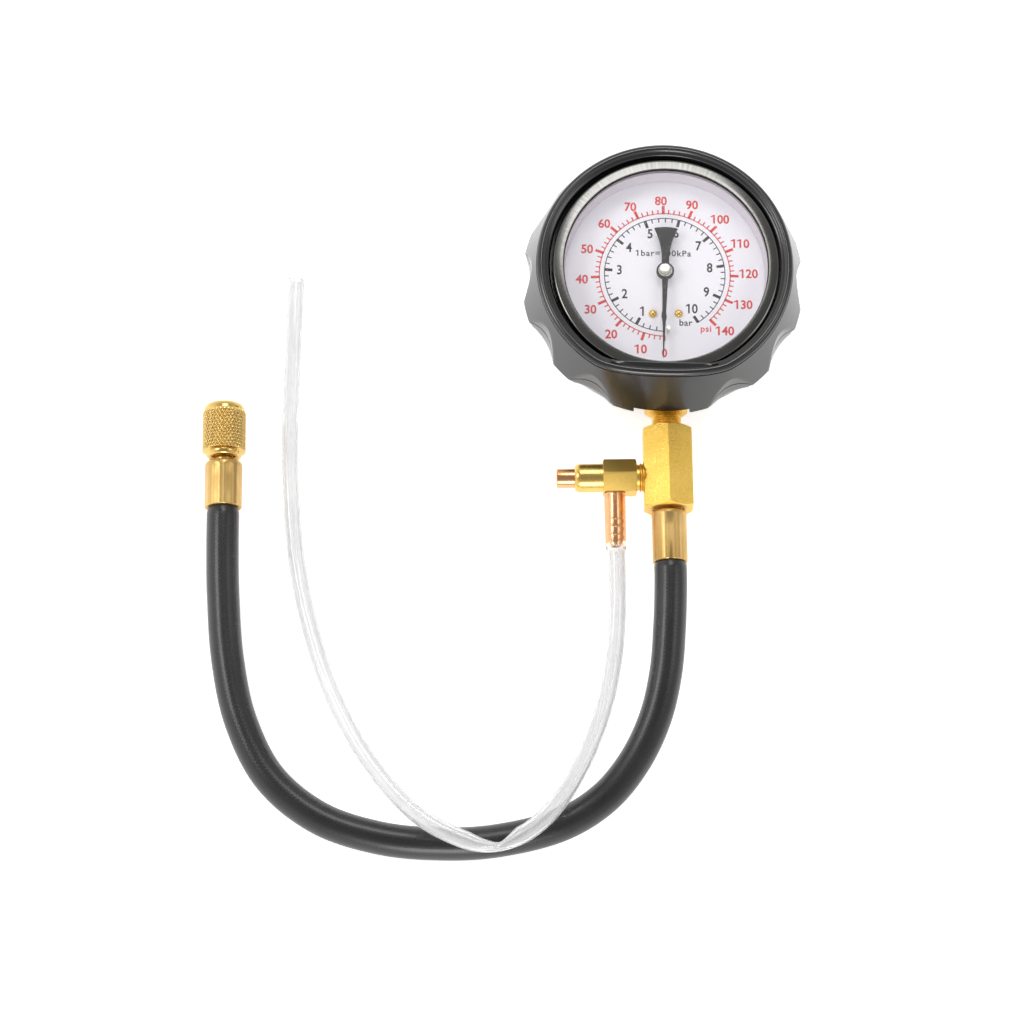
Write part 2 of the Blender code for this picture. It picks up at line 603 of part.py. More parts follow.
def make_bezel():
    skirt_inner = CASE_RADIUS + GAP
    skirt_low = BEZEL_UNDERSIDE - BEZEL_SKIRT
    bezel = turned("bezel_ring", [
        (skirt_inner, skirt_low), (skirt_inner, BEZEL_UNDERSIDE), (BEZEL_OPENING_RADIUS, BEZEL_UNDERSIDE),
        (BEZEL_OPENING_RADIUS, BEZEL_TOP - 0.15 * mm), (BEZEL_OPENING_RADIUS + 0.2 * mm, BEZEL_TOP),
        (BEZEL_RADIUS - 0.8 * mm, BEZEL_TOP - 0.15 * mm), (BEZEL_RADIUS, BEZEL_TOP - 0.8 * mm),
        (BEZEL_RADIUS, skirt_low)], LARGE_SIDE_COUNT)
    return finish(bezel, STEEL, 0.25, 1.0)


def make_window_stack():
    window = rod("window", RING_OUTER_RADIUS, WINDOW_LOW, WINDOW_LOW + WINDOW_THICKNESS, LARGE_SIDE_COUNT)
    finish(window, (0.95, 0.96, 0.98), 0.02, 0.0, 0.15)
    gasket = turned("window_gasket", [
        (GASKET_INNER_RADIUS, GASKET_LOW), (GASKET_INNER_RADIUS, GASKET_LOW + GASKET_THICKNESS),
        (RING_OUTER_RADIUS, GASKET_LOW + GASKET_THICKNESS), (RING_OUTER_RADIUS, GASKET_LOW)], LARGE_SIDE_COUNT)
    finish(gasket, (0.02, 0.02, 0.02), 0.7)
    top = SPACER_LOW + SPACER_HEIGHT
    spacer = turned("spacer_ring", [
        (SPACER_INNER_RADIUS, SPACER_LOW), (SPACER_INNER_RADIUS + SPACER_DRAFT, top),
        (RING_OUTER_RADIUS, top), (RING_OUTER_RADIUS, SPACER_LOW)], LARGE_SIDE_COUNT)
    finish(spacer, (0.82, 0.80, 0.84), 0.5)


def make_dial():
    dial = turned("dial_plate", [
        (2.2 * mm, DIAL_LOW), (2.2 * mm, DIAL_LEVEL), (RING_OUTER_RADIUS, DIAL_LEVEL),
        (RING_OUTER_RADIUS, DIAL_LOW)], LARGE_SIDE_COUNT)
    for number, spot in enumerate(COLUMN_PLACES[:2]):
        cut(dial, rod(f"dial_screw_hole_{number}", 0.7 * mm + GAP, DIAL_LOW - 1 * mm,
                      DIAL_LEVEL + 1 * mm, TINY_SIDE_COUNT, Matrix.Translation((*spot, 0))))
    pin_place = Matrix.Translation((STOP_PIN_X, -STOP_PIN_Y, 0))
    cut(dial, rod("stop_pin_hole", STOP_PIN_RADIUS + GAP, DIAL_LOW - 1 * mm, DIAL_LEVEL + 1 * mm,
                  TINY_SIDE_COUNT, pin_place))
    finish(dial, (0.90, 0.88, 0.95), 0.4)
    pin_top = POINTER_LEVEL + POINTER_THICKNESS + 0.4 * mm
    pin = turned("stop_pin", [
        (0, pin_top), (STOP_PIN_RADIUS, pin_top), (STOP_PIN_RADIUS, DIAL_LOW),
        (STOP_PIN_RADIUS + 0.7 * mm, DIAL_LOW - GAP), (STOP_PIN_RADIUS + 0.7 * mm, DIAL_LOW - 0.8 * mm),
        (0, DIAL_LOW - 0.8 * mm)], TINY_SIDE_COUNT, pin_place)
    finish(pin, (0.80, 0.78, 0.72), 0.3, 1.0)


def make_stem():
    """Socket and stem: tube seat, movement pad, wrench square and pipe thread in one."""
    half = STEM_SQUARE / 2
    cone_end = STEM_SQUARE_END + STEM_CONE_LENGTH
    stem = box("gauge_stem", (-half, -half, SOCKET_FAR - 4 * mm), (half, half, cone_end), STEM_AXIS)
    slope = (half - STEM_THREAD_RADIUS) / STEM_CONE_LENGTH
    wide = half * 1.5
    cut(stem, turned("stem_cone", [
        (0, cone_end + 0.001 * mm), (STEM_THREAD_RADIUS, cone_end + 0.001 * mm),
        (wide, STEM_SQUARE_END - (wide - half) / slope), (wide, SOCKET_FAR / 2), (0, SOCKET_FAR / 2)],
        SMALL_SIDE_COUNT, STEM_AXIS), "INTERSECT")
    thread_end = TEE_START + THREAD_DEPTH
    cut(stem, turned("stem_thread", [
        (0, thread_end), (STEM_THREAD_RADIUS - 0.8 * mm, thread_end),
        (STEM_THREAD_RADIUS, thread_end - 0.8 * mm), (STEM_THREAD_RADIUS, STEM_SQUARE_END - 5 * mm),
        (0, STEM_SQUARE_END - 5 * mm)], SMALL_SIDE_COUNT, STEM_AXIS), "UNION")
    socket_low = CASE_BACK + CASE_WALL + GAP
    cut(stem, box("socket_block", (-SOCKET_HALF_WIDTH, -SOCKET_FAR, socket_low),
                  (SOCKET_HALF_WIDTH, -SOCKET_NEAR, SOCKET_TOP)), "UNION")
    seat_angle = TUBE_ROOT_ANGLE + GAP / TUBE_RADIUS
    seat = Matrix.Rotation(seat_angle, 4, "Z")
    low = STEM_HEIGHT - TUBE_HEIGHT / 2
    cut(stem, box("tube_seat", (TUBE_RADIUS - 2.2 * mm, 0, low + 0.3 * mm),
                  (TUBE_RADIUS + 2.2 * mm, 6 * mm, SOCKET_TOP - 0.2 * mm), seat), "UNION")
    cut(stem, rod("stem_passage", STEM_PASSAGE_RADIUS, TUBE_RADIUS - 1.5 * mm, thread_end + 1 * mm,
                  TINY_SIDE_COUNT, STEM_AXIS))
    cross = Matrix.Translation((0, 0, STEM_HEIGHT)) @ seat @ Matrix.Translation((TUBE_RADIUS, -1 * mm, 0))
    cut(stem, rod("seat_passage", 0.9 * mm, 0, 10 * mm, TINY_SIDE_COUNT,
                  cross @ Matrix.Rotation(math.radians(-90), 4, "X")))
    for side_sign in (-1, 1):
        cut(stem, rod(f"case_screw_bore_{side_sign}", 1.2 * mm + GAP, socket_low - 1 * mm,
                      socket_low + 3.5 * mm, TINY_SIDE_COUNT,
                      Matrix.Translation((side_sign * CASE_SCREW_X, -CASE_SCREW_Y, 0))))
        cut(stem, rod(f"movement_screw_bore_{side_sign}", 0.8 * mm + GAP, SOCKET_TOP - 3 * mm,
                      SOCKET_TOP + 1 * mm, TINY_SIDE_COUNT,
                      Matrix.Translation((side_sign * MOVEMENT_SCREW_X, -MOVEMENT_SCREW_Y, 0))))
    finish(stem, BRASS, 0.3, 1.0)
    floor = CASE_BACK
    for number, side_sign in enumerate((-1, 1), 1):
        screw = turned(f"case_screw_{number}", [
            (0, socket_low + 3 * mm), (1.2 * mm, socket_low + 3 * mm), (1.2 * mm, floor - GAP / 2),
            (CASE_SCREW_HEAD_RADIUS, floor - GAP / 2),
            (CASE_SCREW_HEAD_RADIUS, floor - CASE_SCREW_HEAD_HEIGHT * 0.5),
            (CASE_SCREW_HEAD_RADIUS * 0.6, floor - CASE_SCREW_HEAD_HEIGHT),
            (0, floor - CASE_SCREW_HEAD_HEIGHT)], TINY_SIDE_COUNT,
            Matrix.Translation((side_sign * CASE_SCREW_X, -CASE_SCREW_Y, 0)))
        finish(screw, STEEL, 0.35, 1.0)


def oval(angle, inset=0.0):
    """Section of the flattened tube at an angle round the gauge, as a ring of points."""
    radial = Vector((math.cos(angle), math.sin(angle), 0))
    ring = []
    for i in range(8):
        turn = math.tau * i / 8
        across = (TUBE_WIDTH / 2 - inset) * math.copysign(abs(math.cos(turn)) ** 0.8, math.cos(turn))
        along = (TUBE_HEIGHT / 2 - inset) * math.copysign(abs(math.sin(turn)) ** 0.8, math.sin(turn))
        ring.append(radial * (TUBE_RADIUS + across) + Vector((0, 0, STEM_HEIGHT + along)))
    return ring


def make_bourdon_tube():
    """A flattened C tube, open at the socket and closed at its tip."""
    sweep = TUBE_TIP_ANGLE - math.tau - TUBE_ROOT_ANGLE
    steps = 22
    angles = [TUBE_ROOT_ANGLE + sweep * i / steps for i in range(steps + 1)]
    rings = [oval(angle, TUBE_WALL) for angle in reversed(angles[:-1])]
    rings += [oval(angle) for angle in angles]
    tube = loft("bourdon_tube", rings)
    finish(tube, (0.75, 0.45, 0.25), 0.35, 1.0)


def make_tube_tip():
    """End piece of the tube, with the pin that the link hangs on."""
    turn = Matrix.Rotation(TUBE_TIP_ANGLE - GAP / TUBE_RADIUS, 4, "Z")
    low = STEM_HEIGHT - TUBE_HEIGHT / 2
    tip_top = SECTOR_TOP - 0.2 * mm
    tip = box("tube_tip", (TUBE_RADIUS - 2.9 * mm, -2.9 * mm, low), (TUBE_RADIUS + 2.0 * mm, 0, tip_top),
              turn)
    pin_top = LINK_LOW + LINK_THICKNESS + 0.5 * mm
    cut(tip, rod("tip_pin", 0.5 * mm, tip_top - 1 * mm, pin_top, TINY_SIDE_COUNT,
                 Matrix.Translation((*TIP_PIVOT, 0))), "UNION")
    finish(tip, BRASS, 0.35, 1.0)
    guide = bpy.data.objects.new("tube_tip_swing", None)
    PARTS.objects.link(guide)
    guide.location = (*TIP_SWING_CENTRE, tip_top)
    bpy.context.view_layer.update()
    tip.parent = guide
    tip.matrix_parent_inverse = guide.matrix_world.inverted()


def make_link():
    """Flat link from the tube's tip to the tail of the sector, turning about the tip's pin."""
    reach = TAIL_PIVOT - TIP_PIVOT
    bearing = math.atan2(reach.y, reach.x)
    length = reach.length
    end = 1.6 * mm
    outline = arc_points(1.3 * mm, math.radians(60), math.radians(300), 8)
    outline += arc_points(end, math.radians(-115), math.radians(115), 8, Vector((length, 0)))
    outline = [Vector((p[0], p[1])) for p in outline]
    place = Matrix.Translation((*TIP_PIVOT, 0)) @ Matrix.Rotation(bearing, 4, "Z")
    arm = plate("link_arm", outline, LINK_LOW, LINK_LOW + LINK_THICKNESS, place,
                ((Vector((0, 0)), 0.8 * mm), (Vector((length, 0)), 1.05 * mm)))
    finish(arm, STEEL, 0.35, 1.0)


def tooth_outline(pitch_radius, teeth, first, count, thick_share=0.36):
    """Points along a run of gear teeth, the middle of tooth i at first + i * step."""
    step = math.tau / teeth
    root = pitch_radius - 1.2 * GEAR_MODULE
    tip = pitch_radius + 0.8 * GEAR_MODULE
    points = []
    for i in range(count):
        middle = first + i * step
        for share, radius in ((-thick_share * 0.8, root), (-thick_share * 0.4, tip),
                              (thick_share * 0.4, tip), (thick_share * 0.8, root)):
            turn = middle + share * step
            points.append(Vector((math.cos(turn), math.sin(turn))) * radius)
    return points


def make_pinion():
    """Pointer arbor with its pinion, pivoted in both plates and carrying the pointer."""
    low = LOWER_PLATE_LOW + 0.2 * mm
    shoulder = LOWER_PLATE_TOP + GAP
    top = POINTER_LEVEL + POINTER_THICKNESS + 1.0 * mm
    step = math.tau / PINION_TEETH
    mesh_bearing = SECTOR_BEARING + step / 2
    outline = tooth_outline(PINION_PITCH, PINION_TEETH, mesh_bearing, PINION_TEETH)
    pinion = plate("pinion_arbor", outline, SECTOR_LOW - 0.2 * mm, SECTOR_TOP + 0.2 * mm)
    cut(pinion, turned("pinion_shaft", [
        (0, top), (ARBOR_RADIUS * 0.8, top), (ARBOR_RADIUS, DIAL_LOW), (ARBOR_RADIUS, shoulder),
        (PIVOT_RADIUS, shoulder), (PIVOT_RADIUS, low), (0, low)], TINY_SIDE_COUNT), "UNION")
    cut(pinion, turned("hairspring_collet", [
        (0, UPPER_PLATE_LOW - GAP), (1.25 * mm, UPPER_PLATE_LOW - GAP),
        (1.25 * mm, SECTOR_TOP + 1.0 * mm), (0, SECTOR_TOP + 1.0 * mm)], TINY_SIDE_COUNT), "UNION")
    finish(pinion, STEEL, 0.3, 1.0)


def make_sector():
    """Toothed sector with its arbor and the tail that the link pulls."""
    contact = SECTOR_BEARING + math.pi
    step = math.tau / (PINION_TEETH * SECTOR_RATIO)
    first = contact - (SECTOR_TOOTH_COUNT - 3) * step
    teeth = tooth_outline(SECTOR_PITCH, PINION_TEETH * SECTOR_RATIO, first, SECTOR_TOOTH_COUNT)
    last = first + (SECTOR_TOOTH_COUNT - 1) * step
    rim = SECTOR_PITCH - 1.2 * GEAR_MODULE
    hub = 2.2 * mm
    outline = list(teeth)
    outline += [Vector((math.cos(last + step), math.sin(last + step))) * rim]
    outline += [Vector((math.cos(last + step), math.sin(last + step))) * (rim - 2.2 * mm)]
    outline += arc_points(hub, last + 0.35, TAIL_BEARING + math.tau - 0.45, 4)
    tail = Vector((math.cos(TAIL_BEARING), math.sin(TAIL_BEARING))) * TAIL_RADIUS
    outline += arc_points(1.2 * mm, TAIL_BEARING - 1.3, TAIL_BEARING + 1.3, 6, tail)
    outline += arc_points(hub, TAIL_BEARING + 0.45, first - 0.35, 6)
    outline += [Vector((math.cos(first - step), math.sin(first - step))) * (rim - 2.2 * mm)]
    outline += [Vector((math.cos(first - step), math.sin(first - step))) * rim]
    place = Matrix.Translation((*SECTOR_PIVOT, 0))
    sector = plate("sector_gear", outline, SECTOR_LOW, SECTOR_TOP, place)
    low = LOWER_PLATE_LOW + 0.2 * mm
    high = UPPER_PLATE_TOP - 0.2 * mm
    cut(sector, turned("sector_arbor", [
        (0, high), (PIVOT_RADIUS, high), (PIVOT_RADIUS, UPPER_PLATE_LOW - GAP),
        (ARBOR_RADIUS, UPPER_PLATE_LOW - GAP), (ARBOR_RADIUS, SECTOR_TOP + 0.6 * mm),
        (1.7 * mm, SECTOR_TOP + 0.6 * mm), (1.7 * mm, SECTOR_LOW - 0.4 * mm),
        (ARBOR_RADIUS, SECTOR_LOW - 0.4 * mm), (ARBOR_RADIUS, LOWER_PLATE_TOP + GAP),
        (PIVOT_RADIUS, LOWER_PLATE_TOP + GAP), (PIVOT_RADIUS, low), (0, low)],
        TINY_SIDE_COUNT, place), "UNION")
    cut(sector, rod("tail_pin", 0.5 * mm, SECTOR_LOW + 0.1 * mm, LINK_LOW + LINK_THICKNESS + 0.5 * mm,
                    TINY_SIDE_COUNT, Matrix.Translation((*TAIL_PIVOT, 0))), "UNION")
    finish(sector, BRASS, 0.3, 1.0)


def plate_outline(margin):
    """Rounded outline round the arbors and columns that a movement plate carries."""
    corners = (Vector((-DIAL_SCREW_X, -DIAL_SCREW_Y)), Vector((DIAL_SCREW_X, -DIAL_SCREW_Y)),
               SECTOR_PIVOT, COLUMN_PLACES[2], Vector((0, 0)))
    outline = []
    for i, corner in enumerate(corners):
        before = corner - corners[i - 1]
        after = corners[(i + 1) % len(corners)] - corner
        start = math.atan2(before.y, before.x) - math.pi / 2
        turn = (math.atan2(after.y, after.x) - math.pi / 2 - start) % math.tau
        outline += arc_points(margin, start, start + turn, 4, corner)
    return outline


def make_movement_plates():
    pivots = ((Vector((0, 0)), PIVOT_RADIUS + PIVOT_CLEARANCE),
              (SECTOR_PIVOT, PIVOT_RADIUS + PIVOT_CLEARANCE))
    lower = plate("movement_plate_lower", plate_outline(2.6 * mm), LOWER_PLATE_LOW, LOWER_PLATE_TOP,
                  None, pivots)
    cut(lower, box("plate_foot", (-SOCKET_HALF_WIDTH + 0.4 * mm, -SOCKET_FAR + 12.6 * mm, LOWER_PLATE_LOW),
                   (SOCKET_HALF_WIDTH - 0.4 * mm, -DIAL_SCREW_Y + 1 * mm, LOWER_PLATE_TOP)), "UNION")
    for side_sign in (-1, 1):
        cut(lower, rod(f"plate_screw_hole_{side_sign}", 0.8 * mm + GAP, LOWER_PLATE_LOW - 1 * mm,
                       LOWER_PLATE_TOP + 1 * mm, TINY_SIDE_COUNT,
                       Matrix.Translation((side_sign * MOVEMENT_SCREW_X, -MOVEMENT_SCREW_Y, 0))))
    finish(lower, BRASS, 0.35, 1.0)
    holes = ((Vector((0, 0)), ARBOR_RADIUS + PIVOT_CLEARANCE),
             (SECTOR_PIVOT, PIVOT_RADIUS + PIVOT_CLEARANCE))
    upper = plate("movement_plate_upper", plate_outline(2.6 * mm), UPPER_PLATE_LOW, UPPER_PLATE_TOP,
                  None, holes)
    finish(upper, BRASS, 0.35, 1.0)
    for number, spot in enumerate(COLUMN_PLACES, 1):
        column = rod(f"movement_column_{number}", COLUMN_RADIUS, LOWER_PLATE_TOP + GAP,
                     UPPER_PLATE_LOW - GAP, TINY_SIDE_COUNT, Matrix.Translation((*spot, 0)))
        finish(column, BRASS, 0.35, 1.0)
    for number, side_sign in enumerate((-1, 1), 1):
        screw = turned(f"movement_screw_{number}", [
            (0, LOWER_PLATE_TOP + 1.5 * mm), (1.3 * mm, LOWER_PLATE_TOP + 1.5 * mm),
            (1.7 * mm, LOWER_PLATE_TOP + 1.1 * mm), (1.7 * mm, LOWER_PLATE_TOP + GAP),
            (0.8 * mm, LOWER_PLATE_TOP + GAP), (0.8 * mm, SOCKET_TOP - 2.6 * mm),
            (0, SOCKET_TOP - 2.6 * mm)], TINY_SIDE_COUNT,
            Matrix.Translation((side_sign * MOVEMENT_SCREW_X, -MOVEMENT_SCREW_Y, 0)))
        finish(screw, STEEL, 0.35, 1.0)


def make_dial_fixings():
    for number, spot in enumerate(COLUMN_PLACES[:2], 1):
        place = Matrix.Translation((*spot, 0))
        post = turned(f"dial_post_{number}", [
            (0, UPPER_PLATE_TOP + GAP + 0.6 * mm), (0.7 * mm + GAP, UPPER_PLATE_TOP + GAP + 0.6 * mm),
            (0.7 * mm + GAP, DIAL_LOW - GAP), (1.8 * mm, DIAL_LOW - GAP),
            (1.8 * mm, UPPER_PLATE_TOP + GAP), (0, UPPER_PLATE_TOP + GAP)], TINY_SIDE_COUNT, place)
        finish(post, BRASS, 0.35, 1.0)
        head = DIAL_LEVEL + STACK_GAP
        radius = DIAL_SCREW_HEAD_RADIUS
        screw = turned(f"dial_screw_{number}", [
            (0, head + 1.0 * mm), (radius * 0.5, head + 0.95 * mm), (radius * 0.9, head + 0.6 * mm),
            (radius, head), (0.7 * mm, head), (0.7 * mm, UPPER_PLATE_TOP + 2 * GAP + 0.7 * mm),
            (0, UPPER_PLATE_TOP + 2 * GAP + 0.7 * mm)], TINY_SIDE_COUNT, place)
        finish(screw, (0.85, 0.62, 0.18), 0.25, 1.0)


def make_hairspring():
    """Flat spiral between the collet on the arbor and the upper plate."""
    inner = 1.25 * mm + GAP + HAIRSPRING_WIRE / 2
    outer = 6.3 * mm
    level = (SECTOR_TOP + 1.0 * mm + UPPER_PLATE_LOW - GAP) / 2
    count = HAIRSPRING_TURNS * 12
    points = []
    for i in range(count + 1):
        turn = math.tau * HAIRSPRING_TURNS * i / count
        radius = inner + (outer - inner) * i / count
        points.append(Vector((radius * math.cos(turn), radius * math.sin(turn), level)))
    spring = wire("hairspring", points, HAIRSPRING_WIRE / 2, 0)
    finish(spring, (0.70, 0.68, 0.62), 0.3, 1.0)


def make_pointer():
    """Black pointer with a flared tail, and the bushing that presses it on its arbor."""
    half_tail = POINTER_TAIL_WIDTH / 2
    right = [
        (POINTER_REACH, 0.1), (POINTER_REACH - 6.0 * mm, 0.3), (17.6 * mm, 0.52), (16.6 * mm, 0.66),
        (15.6 * mm, 0.58), (4.0 * mm, 0.82)]
    tail = [
        (4.0 * mm, 1.25 * mm), (7.5 * mm, 1.3 * mm), (10.0 * mm, half_tail * 0.42),
        (12.4 * mm, half_tail * 0.65), (POINTER_TAIL - 0.7 * mm, half_tail),
        (POINTER_TAIL - 0.15 * mm, half_tail * 0.8), (POINTER_TAIL, half_tail * 0.3)]
    outline = [Vector((half * mm, -reach)) for reach, half in right]
    outline += [Vector((half, reach)) for reach, half in tail]
    outline += [Vector((-half, reach)) for reach, half in reversed(tail)]
    outline += [Vector((-half * mm, -reach)) for reach, half in reversed(right)]
    place = Matrix.Rotation(-POINTER_REST, 4, "Z")
    top = POINTER_LEVEL + POINTER_THICKNESS
    pointer = plate("pointer", outline, POINTER_LEVEL, top, place)
    hub_top = top + 0.5 * mm
    cut(pointer, rod("pointer_hub", POINTER_HUB_RADIUS, POINTER_LEVEL - 0.4 * mm, hub_top,
                     SMALL_SIDE_COUNT), "UNION")
    collar = 1.5 * mm
    cut(pointer, rod("pointer_bore", collar + GAP, POINTER_LEVEL - 1 * mm, hub_top + 1 * mm, TINY_SIDE_COUNT))
    finish(pointer, (0.03, 0.03, 0.032), 0.45)
    bore = ARBOR_RADIUS + 0.2 * mm
    cap = turned("pointer_bushing", [
        (bore, POINTER_LEVEL - 1.2 * mm), (bore, hub_top + 0.9 * mm),
        (BUSHING_RADIUS * 0.8, hub_top + 0.9 * mm), (BUSHING_RADIUS, hub_top + 0.6 * mm),
        (BUSHING_RADIUS, hub_top + STACK_GAP), (collar, hub_top + STACK_GAP),
        (collar, POINTER_LEVEL - 1.2 * mm)], SMALL_SIDE_COUNT)
    finish(cap, (0.78, 0.77, 0.70), 0.25, 1.0)


def make_tee():
    tee = hexagon_bar("tee_body", TEE_ACROSS_FLATS, TEE_START, TEE_END, TEE_CHAMFER, STEM_AXIS,
                      math.radians(30))
    bore = THREAD_BORE_RADIUS
    cut(tee, turned("tee_bores", [
        (0, TEE_END + 1 * mm), (bore, TEE_END + 1 * mm), (bore, TEE_END - LOWER_THREAD_DEPTH - GAP),
        (TEE_PASSAGE_RADIUS, TEE_END - LOWER_THREAD_DEPTH - GAP - 1.4 * mm),
        (TEE_PASSAGE_RADIUS, TEE_START + THREAD_DEPTH + GAP + 1.4 * mm),
        (bore, TEE_START + THREAD_DEPTH + GAP), (bore, TEE_START - 1 * mm),
        (0, TEE_START - 1 * mm)], SMALL_SIDE_COUNT, STEM_AXIS))
    neck_end = TEE_ACROSS_FLATS / 2 - VALVE_NECK_DEPTH
    cut(tee, turned("tee_side_bore", [
        (0, TEE_ACROSS_FLATS), (bore, TEE_ACROSS_FLATS), (bore, neck_end - GAP), (0, neck_end - GAP - 1 * mm)],
        SMALL_SIDE_COUNT, VALVE_AXIS))
    finish(tee, BRASS, 0.32, 1.0)


def make_valve():
    """Bleed valve body: pipe-threaded neck, hexagon and the sleeve of the push button."""
    body = hexagon_bar("valve_body", VALVE_ACROSS_FLATS, VALVE_HEX_START, VALVE_HEX_END, 0.35 * mm,
                       VALVE_AXIS)
    neck_end = TEE_ACROSS_FLATS / 2 - VALVE_NECK_DEPTH
    sleeve = VALVE_SLEEVE_RADIUS
    cut(body, turned("valve_turning", [
        (0, VALVE_END), (sleeve - 1.0 * mm, VALVE_END), (sleeve - 0.3 * mm, VALVE_END - 0.4 * mm),
        (sleeve, VALVE_END - 1.4 * mm), (sleeve, VALVE_HEX_END - 1 * mm),
        (STEM_THREAD_RADIUS, VALVE_HEX_START + 1 * mm), (STEM_THREAD_RADIUS, neck_end + 0.6 * mm),
        (STEM_THREAD_RADIUS - 0.6 * mm, neck_end), (0, neck_end)], SMALL_SIDE_COUNT, VALVE_AXIS), "UNION")
    seat_end = SEAT_START + SEAT_THICKNESS
    step = VALVE_HEX_END + 0.4 * mm
    lip = VALVE_END - 1.35 * mm
    cut(body, turned("valve_bores", [
        (0, VALVE_END + 1 * mm), (BUTTON_RADIUS + GAP, VALVE_END + 1 * mm), (BUTTON_RADIUS + GAP, lip),
        (SPRING_BORE_RADIUS, lip), (SPRING_BORE_RADIUS, step), (3.2 * mm, step), (3.2 * mm, seat_end),
        (SEAT_BORE_RADIUS, seat_end), (SEAT_BORE_RADIUS, SEAT_START), (2.9 * mm, SEAT_START),
        (2.9 * mm, neck_end - 1 * mm), (0, neck_end - 1 * mm)], SMALL_SIDE_COUNT, VALVE_AXIS))
    cut(body, rod("barb_hole", BARB_RADIUS + GAP, VALVE_S + 2 * mm, BARB_ROOT_S + 1 * mm, SMALL_SIDE_COUNT,
                  BARB_AXIS))
    finish(body, (0.72, 0.56, 0.22), 0.3, 1.0)
    shoulder = BUTTON_SHOULDER
    stem_low = SEAT_START - 3.4 * mm
    head = VALVE_END + BUTTON_REACH
    button = turned("valve_button", [
        (0, head), (BUTTON_RADIUS - 0.6 * mm, head), (BUTTON_RADIUS, head - 0.6 * mm),
        (BUTTON_RADIUS, shoulder), (SPRING_BORE_RADIUS - GAP, shoulder),
        (SPRING_BORE_RADIUS - GAP, shoulder - 1.4 * mm), (BUTTON_STEM_RADIUS, shoulder - 1.4 * mm),
        (BUTTON_STEM_RADIUS, stem_low + 0.9 * mm), (1.9 * mm, stem_low + 0.9 * mm),
        (1.9 * mm, stem_low + 0.3 * mm), (1.2 * mm, stem_low), (0, stem_low)], SMALL_SIDE_COUNT, VALVE_AXIS)
    finish(button, (0.80, 0.48, 0.26), 0.2, 1.0)
    poppet_low = stem_low + 0.9 * mm + GAP
    poppet_high = poppet_low + 1.1 * mm
    bore = BUTTON_STEM_RADIUS + 0.25 * mm
    poppet = turned("valve_poppet", [
        (bore, poppet_low), (bore, poppet_high), (2.5 * mm, poppet_high), (2.5 * mm, poppet_low)],
        SMALL_SIDE_COUNT, VALVE_AXIS)
    finish(poppet, BRASS, 0.3, 1.0)
    seal_radius = 0.4 * mm
    middle = (poppet_high + SEAT_START) / 2
    seal = turned("poppet_seal", [
        (1.95 * mm + seal_radius * math.cos(a), middle + seal_radius * math.sin(a))
        for a in (math.pi - math.tau * i / 6 for i in range(6))], SMALL_SIDE_COUNT, VALVE_AXIS)
    finish(seal, (0.03, 0.03, 0.03), 0.6)
    low = step + GAP + SPRING_WIRE / 2
    high = shoulder - 1.4 * mm - GAP - SPRING_WIRE / 2
    radius = SPRING_BORE_RADIUS - GAP - SPRING_WIRE / 2
    count = SPRING_TURNS * 10
    points = []
    for i in range(count + 1):
        turn = math.tau * SPRING_TURNS * i / count
        points.append(Vector((radius * math.cos(turn), radius * math.sin(turn),
                              low + (high - low) * i / count)))
    spring = wire("valve_spring", points, SPRING_WIRE / 2, 0, None, VALVE_AXIS)
    finish(spring, STEEL, 0.3, 1.0)


def make_drain():
    """Hose barb on the valve's flat, and the clear tube that is pushed over it."""
    tip = BARB_ROOT_S + BARB_LENGTH
    root = VALVE_S + 3.2 * mm + GAP
    ridge = BARB_RADIUS + BARB_RIDGE
    points = [(BARB_BORE_RADIUS, root), (BARB_BORE_RADIUS, tip), (BARB_RADIUS - 0.5 * mm, tip)]
    for back in (3.0 * mm, 5.9 * mm, 8.5 * mm):
        points += [(ridge, tip - back), (BARB_RADIUS - 0.2 * mm, tip - back - 0.3 * mm)]
    points = points[:3] + points[3:] + [(BARB_RADIUS, tip - 9.6 * mm), (BARB_RADIUS, root)]
    barb = turned("drain_barb", points, SMALL_SIDE_COUNT, BARB_AXIS)
    finish(barb, (0.85, 0.52, 0.32), 0.2, 1.0)
    route = smooth_route(DRAIN_ROUTE, DRAIN_STEP * 2 * DRAIN_TUBE_RADIUS)
    collar_end = -(tip + 0.6 * mm)
    near = [Vector((-BARB_OFFSET, -(BARB_ROOT_S + GAP), STEM_HEIGHT)),
            Vector((-BARB_OFFSET, collar_end, STEM_HEIGHT))]
    far = [spot for spot in route
           if spot.y < collar_end - CORD_LEAD or spot.x < -2 * BARB_OFFSET]
    neck = Vector((-BARB_OFFSET, collar_end - 3.5 * mm, STEM_HEIGHT))
    points = near + [neck] + far
    radii = [DRAIN_COLLAR_RADIUS] * 2 + [DRAIN_TUBE_RADIUS] * (len(far) + 1)
    tube = wire("drain_tube", points, DRAIN_TUBE_RADIUS, 2, radii)
    cut(tube, turned("drain_tube_bore", [
        (0, tip + GAP), (BARB_RADIUS, tip + GAP), (ridge + GAP, tip - 2.4 * mm),
        (ridge + GAP, BARB_ROOT_S), (0, BARB_ROOT_S)], SMALL_SIDE_COUNT, BARB_AXIS))
    finish(tube, (0.90, 0.92, 0.92), 0.1, 0.0, 0.4)


